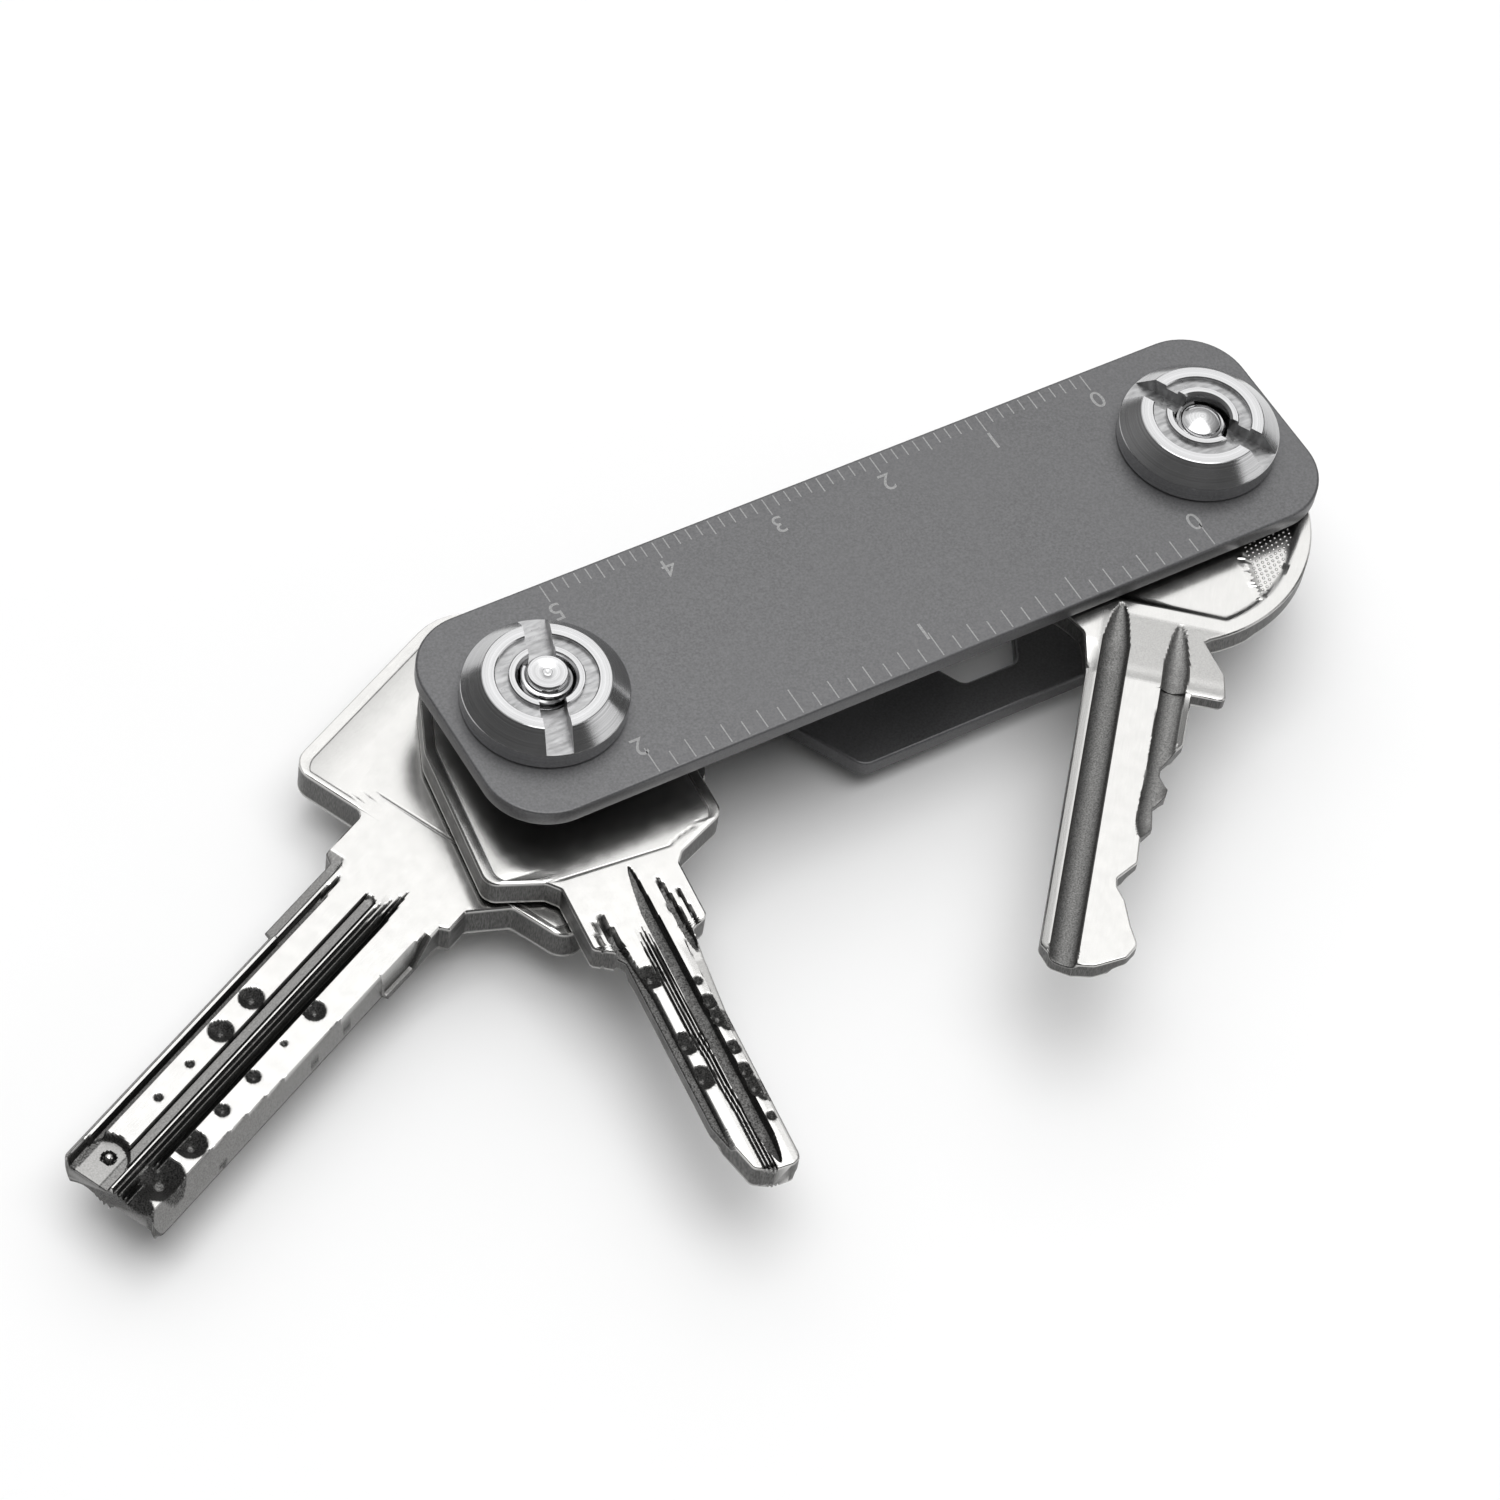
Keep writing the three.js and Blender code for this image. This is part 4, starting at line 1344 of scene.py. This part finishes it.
def small_key_milling(work):
    """Its panel, grooves, the four fine lines between them, and two rows of dimples."""
    u, v = work.u, work.v
    across, front = [0, 4.7, 5.7, 8.9, 20], [13.01, 13.01, 12.5, 11.45, 11.45]
    bow_front = np.interp(np.abs(v - 0.5), across, front)
    work.edged(np.minimum(bow_front - u, work.inward - SMALL_KEY_BORDER), 0.03)
    edge_line = [(16, -2.5), (20, -2.25), (25, -1.75), (60, -1.7)]
    work.groove(16.6, edge_line, 0.42, 0.8, wall=0.12, dark=1.0)
    work.groove(17.0, [(17, -3.0), (20, -3.45)], 0.16, 0.3, end=20.5, run_out=1.5, dark=0.9)
    deep_line = [(13, 1.45), (18, 1.15), (60, 1.3)]
    work.groove(13.6, deep_line, 0.62, 0.95, run_out=5, end=41.5, dark=1.0)
    jog = [(18, 0.0), (29, 0.05), (31.5, 0.25), (34, 0.25), (36.5, 0.4), (60, 0.4)]
    fine_lines = ((-0.5, 0.1, 0.3), (-0.2, 0.1, 0.35), (0.1, 0.1, 0.35), (0.36, 0.08, 0.3))
    for shift, half, depth in fine_lines:
        track = [(place, middle + shift) for place, middle in jog]
        start = 18.6 + abs(shift) * 3
        work.groove(start, track, half, depth, run_out=2, wall=0.05, dark=0.85)
    # Painted shade over the four fine lines and the ribs between them.
    work.tint(np.minimum(np.minimum(v + 0.65, 0.9 - v), (u - 19) / 5), 0.3, 0.2)
    work.groove(15.2, [(15, 3.0), (22, 3.25)], 0.4, 0.6, end=22.5, run_out=3, wall=0.1, dark=1.0)
    work.groove(16.4, [(16, 4.0), (20, 4.25)], 0.14, 0.4, end=20.6, run_out=1, wall=0.06, dark=1.0)
    # The step along the right flank takes painted shade, and painted shade lies over the right side of
    # the blade from u 21 on.
    work.take(0.42 * np.clip((v - 2.62) / 0.1, 0, 1) * np.clip((u - 21) / 2, 0, 1), 0.55)
    work.tint(np.minimum(v - 1.95, (u - 21) / 4), 0.35)
    for place in (23.4, 29.65, 32.8):
        work.dimple(place, -1.1, 1.08)
    for place, across, radius in (
        (24.9, 2.1, 0.42), (26.9, 2.05, 0.75), (28.3, 2.2, 0.95), (29.1, 2.7, 0.7), (31.2, 2.2, 0.66),
        (33.3, 2.05, 0.75), (34.8, 2.2, 0.95), (35.6, 2.7, 0.7), (37.6, 2.3, 0.44),
    ):
        work.dimple(place, across, radius)


class ORGANISER_OT_small_dimple_key(bpy.types.Operator):
    """Builds the small dimple key"""
    bl_idname = "organiser.small_dimple_key"
    bl_label = "Small dimple key"

    def execute(self, context):
        left = rounded([
            (-8.6, 0.4, 0), (-8.6, -6.6, 3), (-1.5, -8.9, 3), (11.5, -9.3, 1.3), (12.9, -5.0, 0.8),
            (13.8, -4.15, 0.5), (19.6, -4.1, 0.5), (20.4, -2.7, 0.3), (21.2, -2.05, 0.3),
            (36.6, -2.0, 2), (41.2, -0.8, 0.6), (41.9, 0.6, 0),
        ], closed=False)
        right = rounded([
            (-8.6, 0.4, 0), (-8.6, 7.4, 3), (-1.5, 9.8, 3), (11.5, 10.25, 1.3), (13.7, 5.9, 0.8),
            (14.6, 5.2, 0.5), (19.8, 5.2, 0.6), (20.5, 3.7, 0.4), (23.5, 3.5, 1), (28.0, 3.1, 1),
            (41.9, 3.0, 1.1), (41.9, 0.6, 0),
        ], closed=False)
        low, high = node_box("small_dimple_key")
        blank = KeyBlank(
            left, right, high.z - low.z, blade=(-2.05, 3.05), core=(-1.5, 1.9),
            blade_start=10.8, step=0.13, lines=96, border=SMALL_KEY_BORDER,
        )
        add_key(
            "small_dimple_key", "small_key", blank, small_key_milling, no_flank_cut,
            LEFT_POST, SMALL_KEY_TURN,
        )
        return {"FINISHED"}


def above_line(u, v):
    """How far a point of the cylinder key's bow lies past its raised line, along v."""
    return (v - 5.5) - 0.475 * (u - 9.6)


def cylinder_key_milling(work):
    """Its sunk panel with a raised line across, the slope to its blade, and two round grooves."""
    u, v = work.u, work.v
    away = np.hypot(u - CYLINDER_BOW[0], v - CYLINDER_BOW[1])
    panel = np.minimum(11.8 - away, 16.3 - u)
    work.take(CYLINDER_PANEL_DEPTH * np.clip(panel / 0.6, 0, 1))
    work.ramp(17.6, 23.7, 0.25)
    # Painted shade over the ramp down to the blade.
    work.tint(np.minimum(np.minimum(u - 17.4, 23.8 - u), v + 5.0), 0.5)
    work.take((0.25 + 0.35 * np.clip((-4.62 - v) / 0.7, 0, 1)) * np.clip((u - 20) / 3, 0, 1))
    # The grooves are cut below the face as it stands so far.
    base = work.depth
    work.depth = np.zeros_like(base)
    work.round_groove(16.6, -3.48, 1.12, 0.6, dark=0.9)
    right_line = [(17, 1.3), (22, 1.55), (32, 1.45), (38, 1.2)]
    work.round_groove(17.6, right_line, 1.0, 0.5, end=39, dark=0.85)
    # A slope along the right flank between u 24 and 31, with light painted shade.
    slope = 0.35 * np.clip((v - 2.2) / 0.8, 0, 1) * np.clip((u - 24) / 1.5, 0, 1) * (u < 31)
    work.take(slope, 0.3)
    work.depth = work.depth + base
    line = np.abs(above_line(u, v)) < 0.22
    work.depth = np.where(line & (panel > 0.3) & (u > 2), work.depth - 0.12, work.depth)


class ORGANISER_OT_cylinder_key(bpy.types.Operator):
    """Builds the cylinder-lock key with its round bow and stippled patch"""
    bl_idname = "organiser.cylinder_key"
    bl_label = "Cylinder-lock key"

    def execute(self, context):
        bow_left = arc(CYLINDER_BOW, CYLINDER_BOW_RADIUS, 180, 334, 44)
        bow_right = arc(CYLINDER_BOW, CYLINDER_BOW_RADIUS, 180, 29, 44)
        left = bow_left + rounded([
            (19.2, -7.2, 0), (20.1, -6.1, 1), (23.5, -5.35, 2), (49.9, -5.3, 0.8), (51.2, -4.3, 0.8),
            (51.5, -2.6, 0),
        ], closed=False)
        right = bow_right + rounded([
            (18.75, 3.4, 0), (20.2, 4.4, 1), (21.6, 5.35, 1), (24.0, 5.75, 0.5), (24.04, 3.05, 0.05),
            (28.8, 3.0, 0.6), (31.3, 1.6, 0.4), (32.1, 1.6, 0.3), (33.4, 2.35, 0.4), (34.1, 2.25, 0.3),
            (35.3, 1.45, 0.4), (37.3, 1.65, 0.4), (38.6, 0.85, 0.4), (41.0, 0.95, 0.5),
            (42.8, -0.4, 0.4), (43.6, -0.3, 0.3), (44.7, 0.45, 0.5), (46.9, 1.2, 0.8),
            (48.5, 1.95, 0.7), (49.8, 1.3, 0.8), (51.2, -1.0, 1), (51.5, -2.6, 0),
        ], steps=4, closed=False)
        low, high = node_box("cylinder_key")
        blank = KeyBlank(
            left, right, high.z - low.z, blade=(-5.3, 3.0), core=(-4.9, -0.7),
            blade_start=16, step=0.22, lines=84,
        )
        add_key(
            "cylinder_key", "house_key", blank, cylinder_key_milling, no_flank_cut,
            RIGHT_POST, CYLINDER_KEY_TURN,
        )
        silver = key_silver("cylinder_key", CYLINDER_KEY_TURN)
        patch = stipple_mesh(15.0, 11.0, 0.42, 0.13, silver)
        patch.transform(Matrix.Translation((5.0, 9.0, blank.thickness - CYLINDER_PANEL_DEPTH))
                        @ Matrix.Rotation(math.radians(STIPPLE_TURN), 4, "Z"))
        keep_patch(patch)
        shade(patch)
        placed(patch, x=RIGHT_POST, z=low.z, turn=CYLINDER_KEY_TURN)
        add_piece("cylinder_key_stipple", patch, "house_key", [], [silver])
        return {"FINISHED"}


def keep_patch(patch):
    """Leaves only the bumps that stand in the bow's sector, between its raised line and rim."""
    solid = bmesh.new()
    solid.from_mesh(patch)
    seen = set()
    drop = []
    for start in solid.verts:
        if start in seen:
            continue
        bump = [start]
        seen.add(start)
        for vertex in bump:
            for edge in vertex.link_edges:
                other = edge.other_vert(vertex)
                if other not in seen:
                    seen.add(other)
                    bump.append(other)
        middle = sum((vertex.co for vertex in bump), Vector()) / len(bump)
        away = math.hypot(middle.x - CYLINDER_BOW[0], middle.y - CYLINDER_BOW[1])
        if away > 11.3 or above_line(middle.x, middle.y) < 0.45:
            drop += bump
    bmesh.ops.delete(solid, geom=drop, context="VERTS")
    solid.to_mesh(patch)
    solid.free()


# ---- Stage -----------------------------------------------------------------------------------

# Angles in degrees; the camera's distance and aim in millimetres, its lens as marked.

CAMERA_AZIMUTH = -38.99
CAMERA_ELEVATION = 53.09
CAMERA_ROLL = 10.58
CAMERA_DISTANCE = 396.2
CAMERA_AIM = (14.75, -7.28, 8.0)
CAMERA_LENS = 123.15

LAMPS = (
    # name, azimuth, elevation, distance, width and height in metres, brightness of its face
    ("main_softbox", 155, 55, 0.8, 0.75, 0.6, 0.66),
    ("overhead_softbox", 10, 86, 1.15, 1.1, 1.1, 2.3),
    ("low_softbox", 54, 20, 0.8, 0.6, 0.26, 1.0),
)
SKY_AZIMUTH = 155
SKY_ELEVATION = 62
SKY_DARK = 0.12
SKY_BRIGHT = 0.9
SKY_FADE = (0.35, 0.95)    # cosines from the brightest place, where dark and bright are reached


def direction(azimuth, elevation):
    """A unit vector towards a place around the object; azimuth 0 is the near side, 90 the right."""
    turn, rise = math.radians(azimuth), math.radians(elevation)
    return Vector((math.sin(turn) * math.cos(rise), -math.cos(turn) * math.cos(rise), math.sin(rise)))


def light_room(tree):
    """A studio's soft surroundings: bright above and behind, dark on the camera's side."""
    place = tree.nodes.new("ShaderNodeTexCoord").outputs["Generated"]
    facing = tree.nodes.new("ShaderNodeVectorMath")
    facing.operation = "DOT_PRODUCT"
    facing.inputs[1].default_value = direction(SKY_AZIMUTH, SKY_ELEVATION)
    tree.links.new(place, facing.inputs[0])
    ramp = tree.nodes.new("ShaderNodeMapRange")
    ramp.interpolation_type = "SMOOTHSTEP"
    limits = (*SKY_FADE, SKY_DARK, SKY_BRIGHT)
    for label, value in zip(("From Min", "From Max", "To Min", "To Max"), limits):
        ramp.inputs[label].default_value = value
    tree.links.new(facing.outputs["Value"], ramp.inputs["Value"])
    tree.links.new(ramp.outputs[0], tree.nodes["Background"].inputs["Strength"])
    tree.nodes["Background"].inputs["Color"].default_value = (1, 1, 1, 1)


class ORGANISER_OT_stage(bpy.types.Operator):
    """Sets the floor, the lights and the camera"""
    bl_idname = "organiser.stage"
    bl_label = "Stage"

    def execute(self, context):
        settings = context.scene.organiser
        scene = context.scene
        middle = (Vector(cad_box[0]) + Vector(cad_box[1])) / 2
        ground = bmesh.new()
        bmesh.ops.create_grid(ground, x_segments=1, y_segments=1, size=2.0)
        floor_mesh = mesh_of(ground, "floor")
        floor_mesh.transform(Matrix.Translation((0, 0, cad_box[0][2])))
        floor_mesh.materials.append(material("pale_floor", floor_finish, settings.floor_colour))
        linked("floor", floor_mesh)

        for name, azimuth, elevation, distance, width, height, brightness in LAMPS:
            lamp = bpy.data.lights.new(name, "AREA")
            lamp.shape = "RECTANGLE"
            lamp.size = width
            lamp.size_y = height
            lamp.energy = brightness * math.pi * width * height
            holder = linked(name, lamp)
            towards = direction(azimuth, elevation)
            holder.location = middle + towards * distance
            holder.rotation_euler = towards.to_track_quat("Z", "Y").to_euler()

        world = bpy.data.worlds.new("studio")
        world.use_nodes = True
        light_room(world.node_tree)
        scene.world = world
        scene.view_settings.view_transform = "Standard"

        camera = bpy.data.cameras.new("camera")
        camera.lens = CAMERA_LENS
        camera.sensor_width = 36
        camera.clip_start = 0.01
        holder = linked("camera", camera)
        back = direction(CAMERA_AZIMUTH, CAMERA_ELEVATION)
        side = Vector((0, 0, 1)).cross(back).normalized()
        up = back.cross(side)
        roll = math.radians(CAMERA_ROLL)
        right = side * math.cos(roll) + up * math.sin(roll)
        upright = back.cross(right)
        turned = Matrix((right, upright, back)).transposed()
        aim = Vector(CAMERA_AIM) * MM
        holder.matrix_world = Matrix.Translation(aim + back * CAMERA_DISTANCE * MM) @ turned.to_4x4()
        scene.camera = holder
        return {"FINISHED"}


# ---- Panel and registration ------------------------------------------------------------------

OPERATORS = (
    ORGANISER_OT_top_plate,
    ORGANISER_OT_bottom_plate,
    ORGANISER_OT_posts,
    ORGANISER_OT_nuts,
    ORGANISER_OT_washers,
    ORGANISER_OT_large_dimple_key,
    ORGANISER_OT_small_dimple_key,
    ORGANISER_OT_cylinder_key,
    ORGANISER_OT_stage,
)


class ORGANISER_PT_panel(bpy.types.Panel):
    """Lists the settings and the pieces"""
    bl_idname = "ORGANISER_PT_panel"
    bl_label = "Key organiser"
    bl_space_type = "VIEW_3D"
    bl_region_type = "UI"
    bl_category = "Organiser"

    def draw(self, context):
        settings = context.scene.organiser
        for name in OrganiserSettings.__annotations__:
            self.layout.prop(settings, name)
        for operator in OPERATORS:
            self.layout.operator(operator.bl_idname)


def register():
    bpy.utils.register_class(OrganiserSettings)
    bpy.types.Scene.organiser = bpy.props.PointerProperty(type=OrganiserSettings)
    for operator in OPERATORS:
        bpy.utils.register_class(operator)
    bpy.utils.register_class(ORGANISER_PT_panel)


def unregister():
    bpy.utils.unregister_class(ORGANISER_PT_panel)
    for operator in reversed(OPERATORS):
        bpy.utils.unregister_class(operator)
    del bpy.types.Scene.organiser
    bpy.utils.unregister_class(OrganiserSettings)


def main():
    register()
    for operator in OPERATORS:
        group, name = operator.bl_idname.split(".")
        getattr(getattr(bpy.ops, group), name)()


if __name__ == "__main__":
    main()
